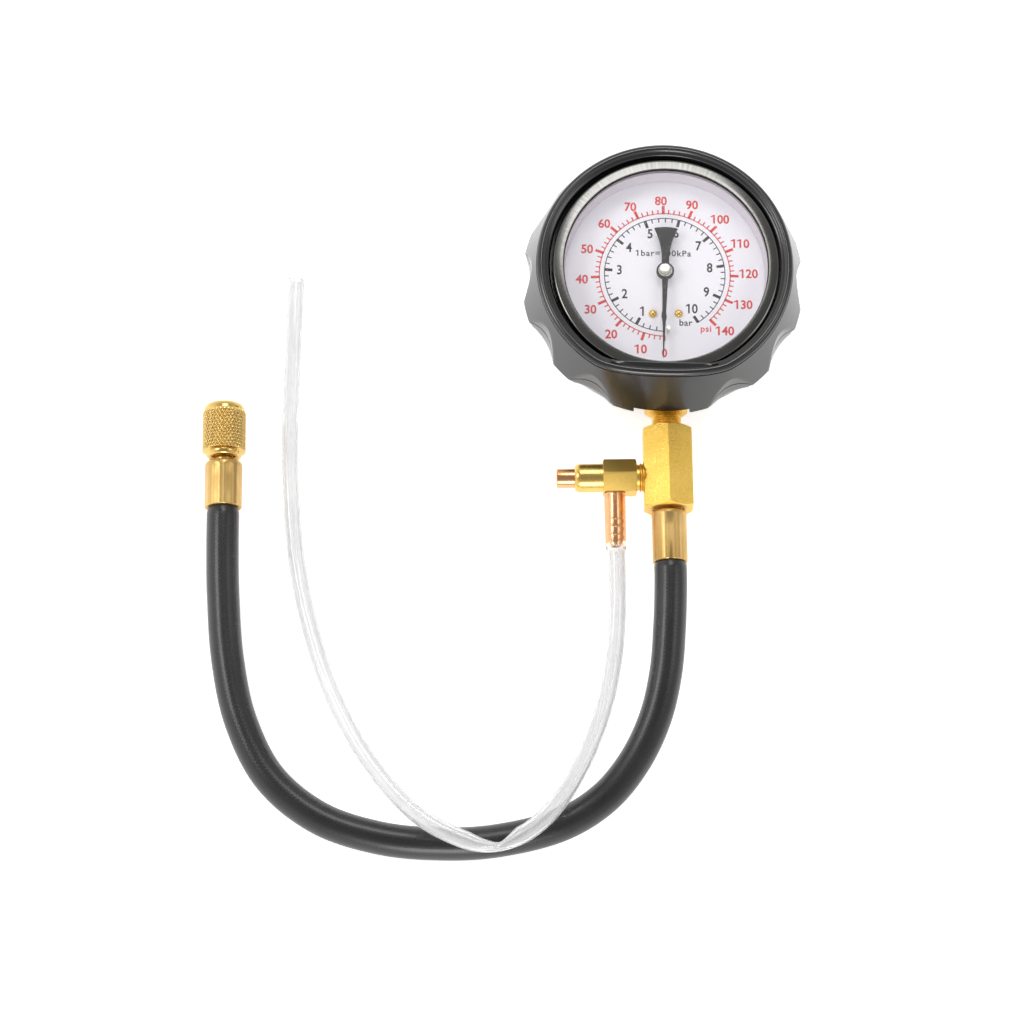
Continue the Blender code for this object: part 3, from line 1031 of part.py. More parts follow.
def make_ferrule(name, radius, start, length, place):
    """Crimped sleeve: a plain rolled top, then eight flats pressed onto the hose."""
    end = start + length
    neck = INSERT_NECK_RADIUS + GAP
    inner = HOSE_CRIMPED_RADIUS + GAP
    sleeve = turned(name, [
        (neck, start), (neck, start + FERRULE_LIP), (inner, start + FERRULE_LIP), (inner, end),
        (radius, end), (radius, start + 1.2 * mm), (radius - 0.3 * mm, start + 0.4 * mm),
        (radius - 1.0 * mm, start)], SMALL_SIDE_COUNT, place)
    flat = radius * math.cos(math.radians(22.5)) * 1.035
    corner = flat / math.cos(math.radians(22.5))
    cut(sleeve, turned(name + "_flats", [
        (0, end + 1 * mm), (corner, end + 1 * mm), (corner, start + 3.0 * mm),
        (radius * 1.2, start + 1.6 * mm), (radius * 1.2, start - 1 * mm), (0, start - 1 * mm)],
        8, place, math.radians(22.5)), "INTERSECT")
    finish(sleeve, (0.76, 0.58, 0.26), 0.35, 1.0)


def tail_points(start):
    """Outline of a barbed hose tail from its free end up to the ferrule's lip."""
    tip = start + INSERT_TAIL_LENGTH
    radius = INSERT_TAIL_RADIUS
    points = [(INSERT_BORE_RADIUS, tip), (radius - 0.5 * mm, tip)]
    for back in (3.0 * mm, 6.5 * mm, 10.0 * mm):
        points += [(radius, tip - back), (radius - 0.35 * mm, tip - back - 0.3 * mm)]
    return points


def make_upper_hose_end():
    start = UPPER_INSERT_START
    thread_end = TEE_END - GAP
    lip_end = UPPER_FERRULE_START + FERRULE_LIP
    points = [(INSERT_BORE_RADIUS, start)] + tail_points(lip_end + GAP) + [
        (INSERT_TAIL_RADIUS - 0.35 * mm, lip_end + GAP), (INSERT_NECK_RADIUS, lip_end),
        (INSERT_NECK_RADIUS, thread_end), (STEM_THREAD_RADIUS, thread_end),
        (STEM_THREAD_RADIUS, start + 0.7 * mm), (STEM_THREAD_RADIUS - 0.7 * mm, start)]
    insert = turned("hose_insert", points, SMALL_SIDE_COUNT, STEM_AXIS)
    finish(insert, BRASS, 0.3, 1.0)
    make_ferrule("upper_ferrule", UPPER_FERRULE_RADIUS, UPPER_FERRULE_START, UPPER_FERRULE_LENGTH,
                 STEM_AXIS)


def make_hose():
    """Black pressure hose, squeezed inside both ferrules and bored for both tails."""
    route = smooth_route(HOSE_ROUTE, HOSE_STEP * 2 * HOSE_RADIUS)
    first = UPPER_FERRULE_START + FERRULE_LIP + GAP
    crimp_end = UPPER_FERRULE_START + UPPER_FERRULE_LENGTH
    far_first = LOWER_FERRULE_START + FERRULE_LIP + GAP
    far_crimp_end = LOWER_FERRULE_START + LOWER_FERRULE_LENGTH
    far_x = COUPLER_X
    start = [(first, HOSE_CRIMPED_RADIUS), (crimp_end - 0.2 * mm, HOSE_CRIMPED_RADIUS),
             (crimp_end + 0.5 * mm, HOSE_RADIUS)]
    end = [(far_first, HOSE_CRIMPED_RADIUS), (far_crimp_end - 0.2 * mm, HOSE_CRIMPED_RADIUS),
           (far_crimp_end + 0.5 * mm, HOSE_RADIUS)]
    middle = [spot for spot in route
              if spot.y < -(crimp_end + CORD_LEAD)
              or (spot.x < COUPLER_X / 2 and spot.y < -(far_crimp_end + CORD_LEAD))]
    points = [Vector((0, -s, STEM_HEIGHT)) for s, r in start] + middle
    points += [Vector((far_x, -s, COUPLER_HEIGHT)) for s, r in reversed(end)]
    radii = [r for s, r in start] + [HOSE_RADIUS] * len(middle) + [r for s, r in reversed(end)]
    hose = wire("pressure_hose", points, HOSE_RADIUS, 3, radii)
    for name, place, begin in (("hose_bore_upper", STEM_AXIS, first), ("hose_bore_lower", COUPLER_AXIS, far_first)):
        bore = INSERT_TAIL_RADIUS + GAP
        cut(hose, rod(name, bore, begin - 2 * mm, begin + INSERT_TAIL_LENGTH + GAP, TINY_SIDE_COUNT, place))
    finish(hose, (0.10, 0.10, 0.105), 0.6)


def make_coupler():
    """Knurled coupler that turns on the insert's flange, with its seal and depressor pin."""
    mouth = COUPLER_MOUTH
    end = mouth + COUPLER_LENGTH
    knurl_start = mouth + COUPLER_KNURL_START
    knurl_end = mouth + COUPLER_KNURL_END
    radius = COUPLER_RADIUS
    seat = mouth + 16.2 * mm
    nut = turned("coupler_nut", [
        (COUPLER_SOCKET_RADIUS + 0.5 * mm, mouth), (COUPLER_SOCKET_RADIUS, mouth + 0.6 * mm),
        (COUPLER_SOCKET_RADIUS, seat), (COUPLER_REAR_BORE, seat), (COUPLER_REAR_BORE, end - 0.8 * mm),
        (COUPLER_REAR_BORE + 0.7 * mm, end), (COUPLER_COLLAR_RADIUS - 0.7 * mm, end),
        (COUPLER_COLLAR_RADIUS, end - 0.8 * mm), (COUPLER_COLLAR_RADIUS, knurl_end + 0.3 * mm),
        (radius - 0.4 * mm, knurl_end), (radius, knurl_end - 0.5 * mm), (radius, knurl_start + 0.4 * mm),
        (radius - 0.5 * mm, knurl_start - 0.6 * mm), (radius - 1.4 * mm, mouth)],
        SMALL_SIDE_COUNT + 6, COUPLER_AXIS)
    finish(nut, (0.80, 0.60, 0.26), 0.35, 1.0)
    lip_end = LOWER_FERRULE_START + FERRULE_LIP
    flange = COUPLER_INSERT_START
    flange_end = seat - GAP
    neck = INSERT_NECK_RADIUS + 0.3 * mm
    points = [(INSERT_BORE_RADIUS, flange)] + tail_points(lip_end + GAP) + [
        (INSERT_TAIL_RADIUS - 0.35 * mm, lip_end + GAP), (INSERT_NECK_RADIUS, lip_end),
        (INSERT_NECK_RADIUS, LOWER_FERRULE_START - GAP), (neck, LOWER_FERRULE_START - GAP),
        (neck, flange_end), (FLANGE_RADIUS, flange_end), (FLANGE_RADIUS, flange)]
    insert = turned("coupler_insert", points, SMALL_SIDE_COUNT, COUPLER_AXIS)
    finish(insert, BRASS, 0.3, 1.0)
    make_ferrule("lower_ferrule", LOWER_FERRULE_RADIUS, LOWER_FERRULE_START, LOWER_FERRULE_LENGTH,
                 COUPLER_AXIS)
    seal_bore = 1.5 * mm
    seal = turned("coupler_seal", [
        (seal_bore, flange - GAP - 1.6 * mm), (seal_bore, flange - GAP), (FLANGE_RADIUS, flange - GAP),
        (FLANGE_RADIUS, flange - GAP - 1.6 * mm)], SMALL_SIDE_COUNT, COUPLER_AXIS)
    finish(seal, (0.04, 0.04, 0.04), 0.6)
    pin_low = flange - 6.5 * mm
    pin = turned("depressor_pin", [
        (0, flange + 4 * mm), (0.8 * mm, flange + 4 * mm), (0.8 * mm, pin_low + 0.4 * mm),
        (0.5 * mm, pin_low), (0, pin_low)], TINY_SIDE_COUNT, COUPLER_AXIS)
    finish(pin, STEEL, 0.3, 1.0)


make_boot()
make_case()
make_bezel()
make_window_stack()
make_dial()
make_stem()
make_bourdon_tube()
make_tube_tip()
make_link()
make_pinion()
make_sector()
make_movement_plates()
make_dial_fixings()
make_hairspring()
make_pointer()
make_tee()
make_valve()
make_drain()
make_upper_hose_end()
make_hose()
make_coupler()
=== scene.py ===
# Looks of the fuel pressure tester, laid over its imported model. Lengths in mm unless noted.
import math

import bmesh
import bpy
from mathutils import Matrix, Vector


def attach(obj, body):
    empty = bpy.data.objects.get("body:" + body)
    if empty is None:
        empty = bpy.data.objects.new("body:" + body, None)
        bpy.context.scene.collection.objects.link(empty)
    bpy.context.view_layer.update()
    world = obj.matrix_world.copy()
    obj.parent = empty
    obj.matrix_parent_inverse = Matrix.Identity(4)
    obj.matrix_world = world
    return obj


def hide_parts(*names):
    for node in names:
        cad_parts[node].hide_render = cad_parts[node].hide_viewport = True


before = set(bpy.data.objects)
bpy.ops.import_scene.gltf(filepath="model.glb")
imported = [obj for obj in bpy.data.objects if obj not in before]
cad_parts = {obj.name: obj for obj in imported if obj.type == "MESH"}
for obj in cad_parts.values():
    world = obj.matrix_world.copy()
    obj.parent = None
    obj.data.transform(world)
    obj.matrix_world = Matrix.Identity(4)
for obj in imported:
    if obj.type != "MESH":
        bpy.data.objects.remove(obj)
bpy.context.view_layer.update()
print("stage: model loaded")

mm = 0.001
stemHeight = 13.4
valveY = -66.9
barbX = -17.8
couplerX = -148.0
couplerHeight = 7.1
alongStem = Matrix.Rotation(math.radians(90), 4, "X")
alongValve = Matrix.Rotation(math.radians(-90), 4, "Y")
stemAxis = Matrix.Translation((0, 0, stemHeight * mm)) @ alongStem
valveAxis = Matrix.Translation((0, valveY * mm, stemHeight * mm)) @ alongValve
barbAxis = Matrix.Translation((barbX * mm, 0, stemHeight * mm)) @ alongStem
couplerAxis = Matrix.Translation((couplerX * mm, 0, couplerHeight * mm)) @ alongStem


def discard(obj):
    bpy.data.objects.remove(obj, do_unlink=True)


def evaluated(obj):
    bpy.context.view_layer.update()
    depsgraph = bpy.context.evaluated_depsgraph_get()
    return bpy.data.meshes.new_from_object(obj.evaluated_get(depsgraph))


def addObject(name, data):
    obj = bpy.data.objects.new(name, data)
    bpy.context.scene.collection.objects.link(obj)
    return obj


# Angles in degrees, nearest and farthest in metres.
view = {"spot": (-57.71, -387.34, 1025.53), "azimuth": -1.079, "elevation": 73.022,
        "roll": 0.444, "lens": 112.5, "sensor": 36, "nearest": 0.05, "farthest": 20}


def makeCamera():
    a = math.radians(view["azimuth"])
    e = math.radians(view["elevation"])
    r = math.radians(view["roll"])
    back = Vector((math.sin(a) * math.cos(e), -math.cos(a) * math.cos(e), math.sin(e)))
    side = Vector((0, 0, 1)).cross(back).normalized()
    up = back.cross(side)
    right = side * math.cos(r) + up * math.sin(r)
    top = up * math.cos(r) - side * math.sin(r)
    data = bpy.data.cameras.new("camera")
    data.lens = view["lens"]
    data.sensor_width = view["sensor"]
    data.clip_start = view["nearest"]
    data.clip_end = view["farthest"]
    camera = addObject("camera", data)
    turn = Matrix((right, top, back)).transposed().to_4x4()
    camera.matrix_world = Matrix.Translation(Vector(view["spot"]) * mm) @ turn
    bpy.context.scene.camera = camera


def link(tree, a, b):
    tree.links.new(a, b)


def setInputs(node, values):
    for key, value in values.items():
        node.inputs[key].default_value = value


def addNode(tree, kind, values=None):
    made = tree.nodes.new("ShaderNode" + kind)
    setInputs(made, values or {})
    return made


def addMath(tree, operation, first, second):
    made = addNode(tree, "Math")
    made.operation = operation
    for socket, value in zip(made.inputs, (first, second)):
        if isinstance(value, float):
            socket.default_value = value
        else:
            link(tree, value, socket)
    return made.outputs[0]


def remap(tree, value, span, result=(0.0, 1.0), eased=False):
    made = addNode(tree, "MapRange", {"From Min": span[0], "From Max": span[1],
                                      "To Min": result[0], "To Max": result[1]})
    if eased:
        made.interpolation_type = "SMOOTHSTEP"
    link(tree, value, made.inputs["Value"])
    return made.outputs["Result"]


def blendColours(tree, share, first, second):
    made = addNode(tree, "Mix")
    made.data_type = "RGBA"
    made.inputs["A"].default_value = (*first, 1)
    if isinstance(second, tuple):
        made.inputs["B"].default_value = (*second, 1)
    else:
        link(tree, second, made.inputs["B"])
    link(tree, share, made.inputs["Factor"])
    return made.outputs["Result"]


def mixShaders(tree, share, first, second):
    made = addNode(tree, "MixShader")
    link(tree, share, made.inputs["Fac"])
    link(tree, first, made.inputs[1])
    link(tree, second, made.inputs[2])
    return made.outputs[0]


noise = {"fineDetail": 4, "broadScale": 60.0, "broadDetail": 3, "tones": (0.12, 0.4),
         "wear": (0.3, 0.7), "sheenRoughness": 0.25}


looks = {}


def addLook(name, base, second, rough, metal=0.0, grain=1500.0, bump=0.1, spread=0.06,
            stretch=(1, 1, 1), alpha=1.0, depth=0.00003, specular=0.5, uv=False, sheen=0.0):
    # Depth is the relief's, in metres, and grain and stretch count per metre.
    material = bpy.data.materials.new(name)
    material.use_nodes = True
    tree = material.node_tree
    shader = tree.nodes["Principled BSDF"]
    setInputs(shader, {"Metallic": metal, "Alpha": alpha, "Specular IOR Level": specular,
                       "Sheen Weight": sheen, "Sheen Roughness": noise["sheenRoughness"]})
    where = addNode(tree, "TexCoord")
    mapping = addNode(tree, "Mapping", {"Scale": stretch})
    link(tree, where.outputs["UV" if uv else "Object"], mapping.inputs["Vector"])
    fine = addNode(tree, "TexNoise", {"Scale": grain, "Detail": noise["fineDetail"]})
    link(tree, mapping.outputs["Vector"], fine.inputs["Vector"])
    broad = addNode(tree, "TexNoise", {"Scale": noise["broadScale"],
                                       "Detail": noise["broadDetail"]})
    link(tree, where.outputs["Object"], broad.inputs["Vector"])
    grains = fine.outputs["Fac"]
    mixed = addMath(tree, "MULTIPLY", grains, broad.outputs["Fac"])
    tone = blendColours(tree, remap(tree, mixed, noise["tones"]), base, second)
    link(tree, tone, shader.inputs["Base Color"])
    limits = (max(0.0, rough - spread), min(1.0, rough + spread))
    link(tree, remap(tree, grains, noise["wear"], limits), shader.inputs["Roughness"])
    relief = addNode(tree, "Bump", {"Strength": bump, "Distance": depth})
    link(tree, grains, relief.inputs["Height"])
    link(tree, relief.outputs["Normal"], shader.inputs["Normal"])
    looks[name] = material


clothLook = {"around": 12.0, "along": 480.0, "waver": 0.6, "strength": 0.075, "depth": 0.0003}


def weave(material, cloth):
    # Two sets of ridges cross over the grain; depth in metres.
    tree = material.node_tree
    shader = tree.nodes["Principled BSDF"]
    where = addNode(tree, "TexCoord")
    ridges = []
    for sign in (1, -1):
        mapping = addNode(tree, "Mapping", {"Scale": (cloth["around"], cloth["along"] * sign, 1)})
        wave = addNode(tree, "TexWave", {"Scale": 1.0, "Distortion": cloth["waver"]})
        wave.bands_direction = "DIAGONAL"
        link(tree, where.outputs["UV"], mapping.inputs["Vector"])
        link(tree, mapping.outputs["Vector"], wave.inputs["Vector"])
        ridges.append(wave.outputs["Fac"])
    relief = addNode(tree, "Bump", {"Strength": cloth["strength"], "Distance": cloth["depth"]})
    link(tree, addMath(tree, "MULTIPLY", *ridges), relief.inputs["Height"])
    link(tree, tree.nodes["Bump"].outputs["Normal"], relief.inputs["Normal"])
    link(tree, relief.outputs["Normal"], shader.inputs["Normal"])


# It is clear as far as clearEnd along it, and turns milky over the fade; both in metres.
tubeLook = {"clearEnd": 0.0175, "fade": 0.002, "milky": (0.14, 0.36), "streaks": (6.0, 12.0, 1),
            "streakSpan": (0.38, 0.62), "bending": 1.45, "shadow": (0.93, 0.93, 0.93, 1)}


def letLightThrough(material, tube):
    # Light passes and bends, and the piece casts no hard shadow.
    tree = material.node_tree
    shader = tree.nodes["Principled BSDF"]
    where = addNode(tree, "TexCoord")
    mapping = addNode(tree, "Mapping", {"Scale": tube["streaks"]})
    link(tree, where.outputs["UV"], mapping.inputs["Vector"])
    streaks = addNode(tree, "TexNoise", {"Scale": 1.0})
    link(tree, mapping.outputs["Vector"], streaks.inputs["Vector"])
    milk = remap(tree, streaks.outputs["Fac"], tube["streakSpan"], tube["milky"])
    split = addNode(tree, "SeparateXYZ")
    link(tree, where.outputs["UV"], split.inputs["Vector"])
    past = remap(tree, split.outputs["Y"], (tube["clearEnd"], tube["clearEnd"] + tube["fade"]))
    plain = shader.inputs["Base Color"].links[0].from_socket
    link(tree, blendColours(tree, past, (1, 1, 1), plain), shader.inputs["Base Color"])
    share = addMath(tree, "MULTIPLY", milk, past)
    link(tree, addMath(tree, "SUBTRACT", 1.0, share), shader.inputs["Transmission Weight"])
    shader.inputs["IOR"].default_value = tube["bending"]
    rays = addNode(tree, "LightPath")
    clear = addNode(tree, "BsdfTransparent", {"Color": tube["shadow"]})
    mixed = mixShaders(tree, rays.outputs["Is Shadow Ray"], shader.outputs[0], clear.outputs[0])
    link(tree, mixed, tree.nodes["Material Output"].inputs["Surface"])


addLook("boot", (0.008, 0.008, 0.0085), (0.013, 0.013, 0.013), 0.2, bump=0.05, grain=2600,
        specular=0.8, spread=0.03, sheen=0.34)
# Near-black, darker than the rubber: painted shade standing for the mould lines' groove.
addLook("painted_crease_shade", (0.002, 0.002, 0.002), (0.004, 0.004, 0.004), 0.7, specular=0.0)
addLook("hose", (0.009, 0.009, 0.01), (0.019, 0.019, 0.021), 0.32, bump=0.04, grain=3000,
        specular=0.6)
addLook("seal", (0.008, 0.008, 0.008), (0.014, 0.014, 0.014), 0.6, specular=0.3)
addLook("steel", (0.52, 0.51, 0.49), (0.42, 0.41, 0.39), 0.32, 1.0)
addLook("bezel", (0.175, 0.173, 0.167), (0.13, 0.128, 0.12), 0.17, 1.0, grain=1.0,
        stretch=(260, 0.6, 1), bump=0.04, uv=True, depth=0.00002, spread=0.04)
addLook("silver", (0.78, 0.76, 0.68), (0.66, 0.64, 0.56), 0.24, 1.0, bump=0.08)
addLook("brass", (0.9, 0.61, 0.14), (0.72, 0.44, 0.08), 0.33, 1.0, grain=1900, bump=0.9,
        depth=0.0002, spread=0.08)
addLook("polished", (0.8, 0.55, 0.17), (0.72, 0.48, 0.13), 0.26, 1.0, grain=900, bump=0.02,
        spread=0.02)
addLook("knurled", (0.74, 0.51, 0.18), (0.66, 0.45, 0.15), 0.24, 1.0, grain=900, bump=0.01,
        spread=0.02)
addLook("crimped", (0.7, 0.47, 0.18), (0.46, 0.29, 0.09), 0.36, 1.0, grain=1.0,
        stretch=(70, 3, 1), bump=0.3, spread=0.05, uv=True, depth=0.00004)
addLook("olive", (0.84, 0.57, 0.15), (0.76, 0.5, 0.12), 0.36, 1.0, grain=900, bump=0.04,
        spread=0.03)
addLook("copper", (0.88, 0.47, 0.23), (0.8, 0.4, 0.18), 0.2, 1.0, bump=0.03, grain=900,
        spread=0.02)
addLook("bronze", (0.6, 0.34, 0.18), (0.48, 0.26, 0.13), 0.35, 1.0)
addLook("pointer", (0.004, 0.0042, 0.005), (0.007, 0.0075, 0.009), 0.45, specular=0.2)
addLook("dial", (0.95, 0.93, 1.0), (0.97, 0.95, 1.0), 0.45, bump=0.03, specular=0.2)
addLook("spacer", (0.6, 0.56, 0.62), (0.66, 0.62, 0.67), 0.4, bump=0.05)
addLook("red ink", (0.74, 0.035, 0.03), (0.8, 0.06, 0.05), 0.45, bump=0.02, specular=0.2)
addLook("black ink", (0.014, 0.015, 0.016), (0.024, 0.025, 0.027), 0.45, bump=0.02, specular=0.2)
addLook("grey ink", (0.025, 0.025, 0.03), (0.04, 0.04, 0.05), 0.45, bump=0.02, specular=0.2)
addLook("gold", (0.86, 0.54, 0.1), (0.76, 0.44, 0.07), 0.22, 1.0, bump=0.1)
addLook("glass", (0.96, 0.96, 0.98), (0.98, 0.98, 1.0), 0.03, alpha=0.04, bump=0.0, spread=0.01,
        specular=0.3)
addLook("clear", (0.78, 0.78, 0.785), (0.82, 0.82, 0.82), 0.05, bump=0.008, grain=400,
        specular=0.5, spread=0.02)
weave(looks["hose"], clothLook)
letLightThrough(looks["clear"], tubeLook)


def shade(mesh, sharp=35):
    mesh.shade_smooth()
    mesh.set_sharp_from_angle(angle=math.radians(sharp))


def addMesh(name, verts, faces, place=None, look=None, sharp=35, uvs=None):
    mesh = bpy.data.meshes.new(name)
    mesh.from_pydata(verts, [], faces)
    if uvs:
        layer = mesh.uv_layers.new(name="along")
        flat = [uv for corners in uvs for uv in corners]
        for loop, uv in zip(layer.data, flat):
            loop.uv = uv
    obj = addObject(name, mesh)
    obj.matrix_world = place or Matrix()
    shade(mesh, sharp)
    if look:
        mesh.materials.append(looks[look])
    return obj


def gridFaces(rows, columns, closed=False):
    faces = []
    for i in range(rows if closed else rows - 1):
        k = (i + 1) % rows
        for j in range(columns):
            n = (j + 1) % columns
            faces.append((i * columns + j, i * columns + n, k * columns + n, k * columns + j))
    return faces


def gridUvs(levels, columns):
    # The corners of gridFaces: u goes round, and v is each row's level, in metres.
    uvs = []
    for v0, v1 in zip(levels, levels[1:]):
        for j in range(columns):
            u0, u1 = j / columns, (j + 1) / columns
            uvs.append(((u0, v0), (u1, v0), (u1, v1), (u0, v1)))
    return uvs


def tidy(obj, sharp=35, merge=True):
    mergeGap = 0.0000005
    bm = bmesh.new()
    bm.from_mesh(obj.data)
    if merge:
        bmesh.ops.remove_doubles(bm, verts=bm.verts, dist=mergeGap)
    bmesh.ops.recalc_face_normals(bm, faces=bm.faces)
    bm.to_mesh(obj.data)
    bm.free()
    shade(obj.data, sharp)


def lathe(name, profile, sides, look, place=None, closed=False, sharp=35, radiusAt=None):
    # The profile lists (radius, level); radiusAt can change the radius round the axis.
    verts = []
    for radius, level in profile:
        for j in range(sides):
            turn = math.tau * j / sides
            r = radiusAt(radius, level, turn) if radiusAt else radius
            verts.append((r * math.cos(turn) * mm, r * math.sin(turn) * mm, level * mm))
    travelled = [0.0]
    for (r0, z0), (r1, z1) in zip(profile, profile[1:] + profile[:1]):
        travelled.append(travelled[-1] + math.hypot(r1 - r0, z1 - z0) * mm)
    uvs = gridUvs(travelled if closed else travelled[:-1], sides)
    obj = addMesh(name, verts, gridFaces(len(profile), sides, closed), place, look, sharp, uvs)
    tidy(obj, sharp)
    return obj


def box(name, low, high, look, place=None):
    xs, ys, zs = zip(low, high)
    verts = [(x * mm, y * mm, z * mm) for x in xs for y in ys for z in zs]
    faces = [(0, 1, 3, 2), (4, 6, 7, 5), (0, 4, 5, 1), (2, 3, 7, 6), (0, 2, 6, 4), (1, 5, 7, 3)]
    obj = addMesh(name, verts, faces, place, look)
    tidy(obj)
    return obj


def prism(name, outline, low, high, look, place):
    count = len(outline)
    verts = [(x * mm, y * mm, z * mm) for z in (low, high) for x, y in outline]
    faces = [tuple(reversed(range(count))), tuple(range(count, 2 * count))]
    faces += [(i, (i + 1) % count, count + (i + 1) % count, count + i) for i in range(count)]
    obj = addMesh(name, verts, faces, place, look)
    tidy(obj)
    return obj


def roundEdges(obj, width, segments=2, angle=30):
    modifier = obj.modifiers.new("rounding", "BEVEL")
    modifier.width = width * mm
    modifier.segments = segments
    modifier.limit_method = "ANGLE"
    modifier.angle_limit = math.radians(angle)


def settle(obj):
    # The modifiers' result becomes the mesh.
    mesh = evaluated(obj)
    obj.modifiers.clear()
    obj.data = mesh
    shade(mesh)


def carve(target, cutter, operation="DIFFERENCE"):
    modifier = target.modifiers.new("carve", "BOOLEAN")
    modifier.operation = operation
    modifier.solver = "EXACT"
    modifier.object = cutter
    settle(target)
    discard(cutter)


def gather(name, pieces, look):
    bm = bmesh.new()
    for piece in pieces:
        settle(piece)
        start = len(bm.verts)
        bm.from_mesh(piece.data)
        bm.verts.ensure_lookup_table()
        bmesh.ops.transform(bm, matrix=piece.matrix_world, verts=bm.verts[start:])
    mesh = bpy.data.meshes.new(name)
    bm.to_mesh(mesh)
    bm.free()
    for piece in pieces:
        discard(piece)
    obj = addObject(name, mesh)
    shade(mesh)
    mesh.materials.clear()
    mesh.materials.append(looks[look])
    return obj


def smoothRoute(points, step):
    # A curve through all the points, cut into even steps; it comes back with its length.
    cuts = 24
    spots = [Vector(p) for p in points]
    spots = [2 * spots[0] - spots[1]] + spots + [2 * spots[-1] - spots[-2]]
    fine = []
    for a, b, c, d in zip(spots, spots[1:], spots[2:], spots[3:]):
        for i in range(cuts):
            t = i / cuts
            fine.append(0.5 * (2 * b + (c - a) * t + (2 * a - 5 * b + 4 * c - d) * t ** 2
                               + (3 * b - a - 3 * c + d) * t ** 3))
    fine.append(spots[-2])
    lengths = [0.0]
    for p, q in zip(fine, fine[1:]):
        lengths.append(lengths[-1] + (q - p).length)
    count = max(2, round(lengths[-1] / step))
    route = []
    k = 0
    for i in range(count + 1):
        target = lengths[-1] * i / count
        while k < len(fine) - 2 and lengths[k + 1] < target:
            k += 1
        share = (target - lengths[k]) / (lengths[k + 1] - lengths[k])
        route.append(fine[k].lerp(fine[k + 1], share))
    return route, lengths[-1]


def sweep(name, route, radiusAt, sides, look, wallAt=None, shiftAt=None):
    # radiusAt(i, turn) gives each point's distance from the route, turn counted from straight
    # up. With wallAt it is a tube, and without it a solid; shiftAt moves each ring sideways.
    sharp = 50
    thinnest = 0.12
    rings = []
    levels = [0.0]
    for i, spot in enumerate(route):
        ahead = route[min(i + 1, len(route) - 1)] - route[max(i - 1, 0)]
        ahead.normalize()
        sideways = ahead.cross(Vector((0, 0, 1))).normalized()
        up = sideways.cross(ahead)
        shift = sideways * shiftAt(i) if shiftAt else Vector()
        rings.append((spot + shift, sideways, up))
        if i:
            levels.append(levels[-1] + (spot - route[i - 1]).length * mm)
    order = list(range(len(rings)))
    shells = [(order[::-1], wallAt), (order, None)] if wallAt else [(order, None)]
    verts = []
    ringLevels = []
    for indices, wall in shells:
        for i in indices:
            spot, sideways, up = rings[i]
            ringLevels.append(levels[i])
            for j in range(sides):
                turn = math.tau * j / sides
                reach = max(thinnest, radiusAt(i, turn) - (wall(i) if wall else 0.0))
                aside = sideways * reach * math.sin(turn)
                verts.append((spot + aside + up * reach * math.cos(turn)) * mm)
    faces = gridFaces(len(ringLevels), sides, bool(wallAt))
    if wallAt:
        uvs = gridUvs(ringLevels + ringLevels[:1], sides)
    else:
        last = (len(rings) - 1) * sides
        faces += [tuple(reversed(range(sides))), tuple(range(last, last + sides))]
        uvs = gridUvs(ringLevels, sides) + [[(0, 0)] * sides] * 2
    obj = addMesh(name, verts, faces, None, look, sharp, uvs)
    tidy(obj, sharp, merge=False)
    return obj


def dress(obj, slotName, *nodes, body="gauge"):
    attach(obj, body)
    if nodes:
        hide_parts(*nodes)
    return obj


# Sections list (radius, level). A scallop is a scoop of angle 2 * half, cut in the flank; the
# dip is how far the rim bends inwards over the stem.
boot = {
    "rim": 42.65, "rimLevel": 34.95, "flare": 47.25, "wide": 19.35, "landing": (0.06, 0.25),
    "twist": math.radians(-2.3), "shift": (-0.4, 0.3), "rows": 56, "sharp": 40,
    "scallops": 12, "half": math.radians(10.4), "depth": 2.5, "draft": 0.06,
    "scoopSteps": 12, "plainSteps": 3, "scoopInside": 38.0, "scoopBottom": 2.0,
    "dip": 3.1, "dipHalf": math.radians(32), "dipPower": 1.5, "dipInside": 38.3,
    "lip": [(38.5, 34.9), (38.62, 35.75), (38.95, 36.05), (39.6, 36.12), (39.95, 36.3),
            (40.2, 36.62), (40.55, 36.86), (40.95, 36.95), (41.4, 36.88), (41.85, 36.66),
            (42.25, 36.32), (42.48, 35.95), (42.48, 35.6), (42.25, 35.32), (42.2, 35.12),
            (42.4, 34.98)],
    "foot": [(46.5, 17.85), (43.6, 12.2), (41, 7.2), (38.4, 2.6), (37.9, 1.4), (37.3, 0.6),
             (36.2, 0), (20, 0), (5, 0), (0, 0)],
    "lining": [(38.5, 35.2), (37.9, 31.2), (36.7, 31), (36.7, 3), (0, 3)],
    "slot": ((-9.3, -60, 5.9), (9.3, -30, 20.9)),
}


def scallopReach(radius, angle, level):
    if abs(angle) >= boot["half"]:
        return radius
    deepest = boot["flare"] - boot["depth"] - boot["draft"] * max(0.0, level - boot["wide"])
    halfChord = boot["flare"] * math.sin(boot["half"])
    rise = boot["flare"] * math.cos(boot["half"]) - deepest
    scoop = (halfChord ** 2 + rise ** 2) / (2 * rise)
    centre = deepest + scoop
    reach = centre * math.cos(angle) - math.sqrt(scoop ** 2 - (centre * math.sin(angle)) ** 2)
    return min(radius, reach)


def rimDip(angle, level):
    off = (angle + math.pi) % math.tau - math.pi
    if abs(off) >= boot["dipHalf"] or level <= boot["wide"]:
        return 0.0
    share = min(1.0, (level - boot["wide"]) / (boot["rimLevel"] - boot["wide"]))
    return boot["dip"] * share * (1 - (off / boot["dipHalf"]) ** 2) ** boot["dipPower"]


def bootSpot(reach, turn, level, shifted=True):
    # Turn is counted from the stem.
    shift = boot["shift"] if shifted else (0.0, 0.0)
    turn += boot["twist"] - math.pi / 2
    return ((reach * math.cos(turn) + shift[0]) * mm, (reach * math.sin(turn) + shift[1]) * mm,
            level * mm)


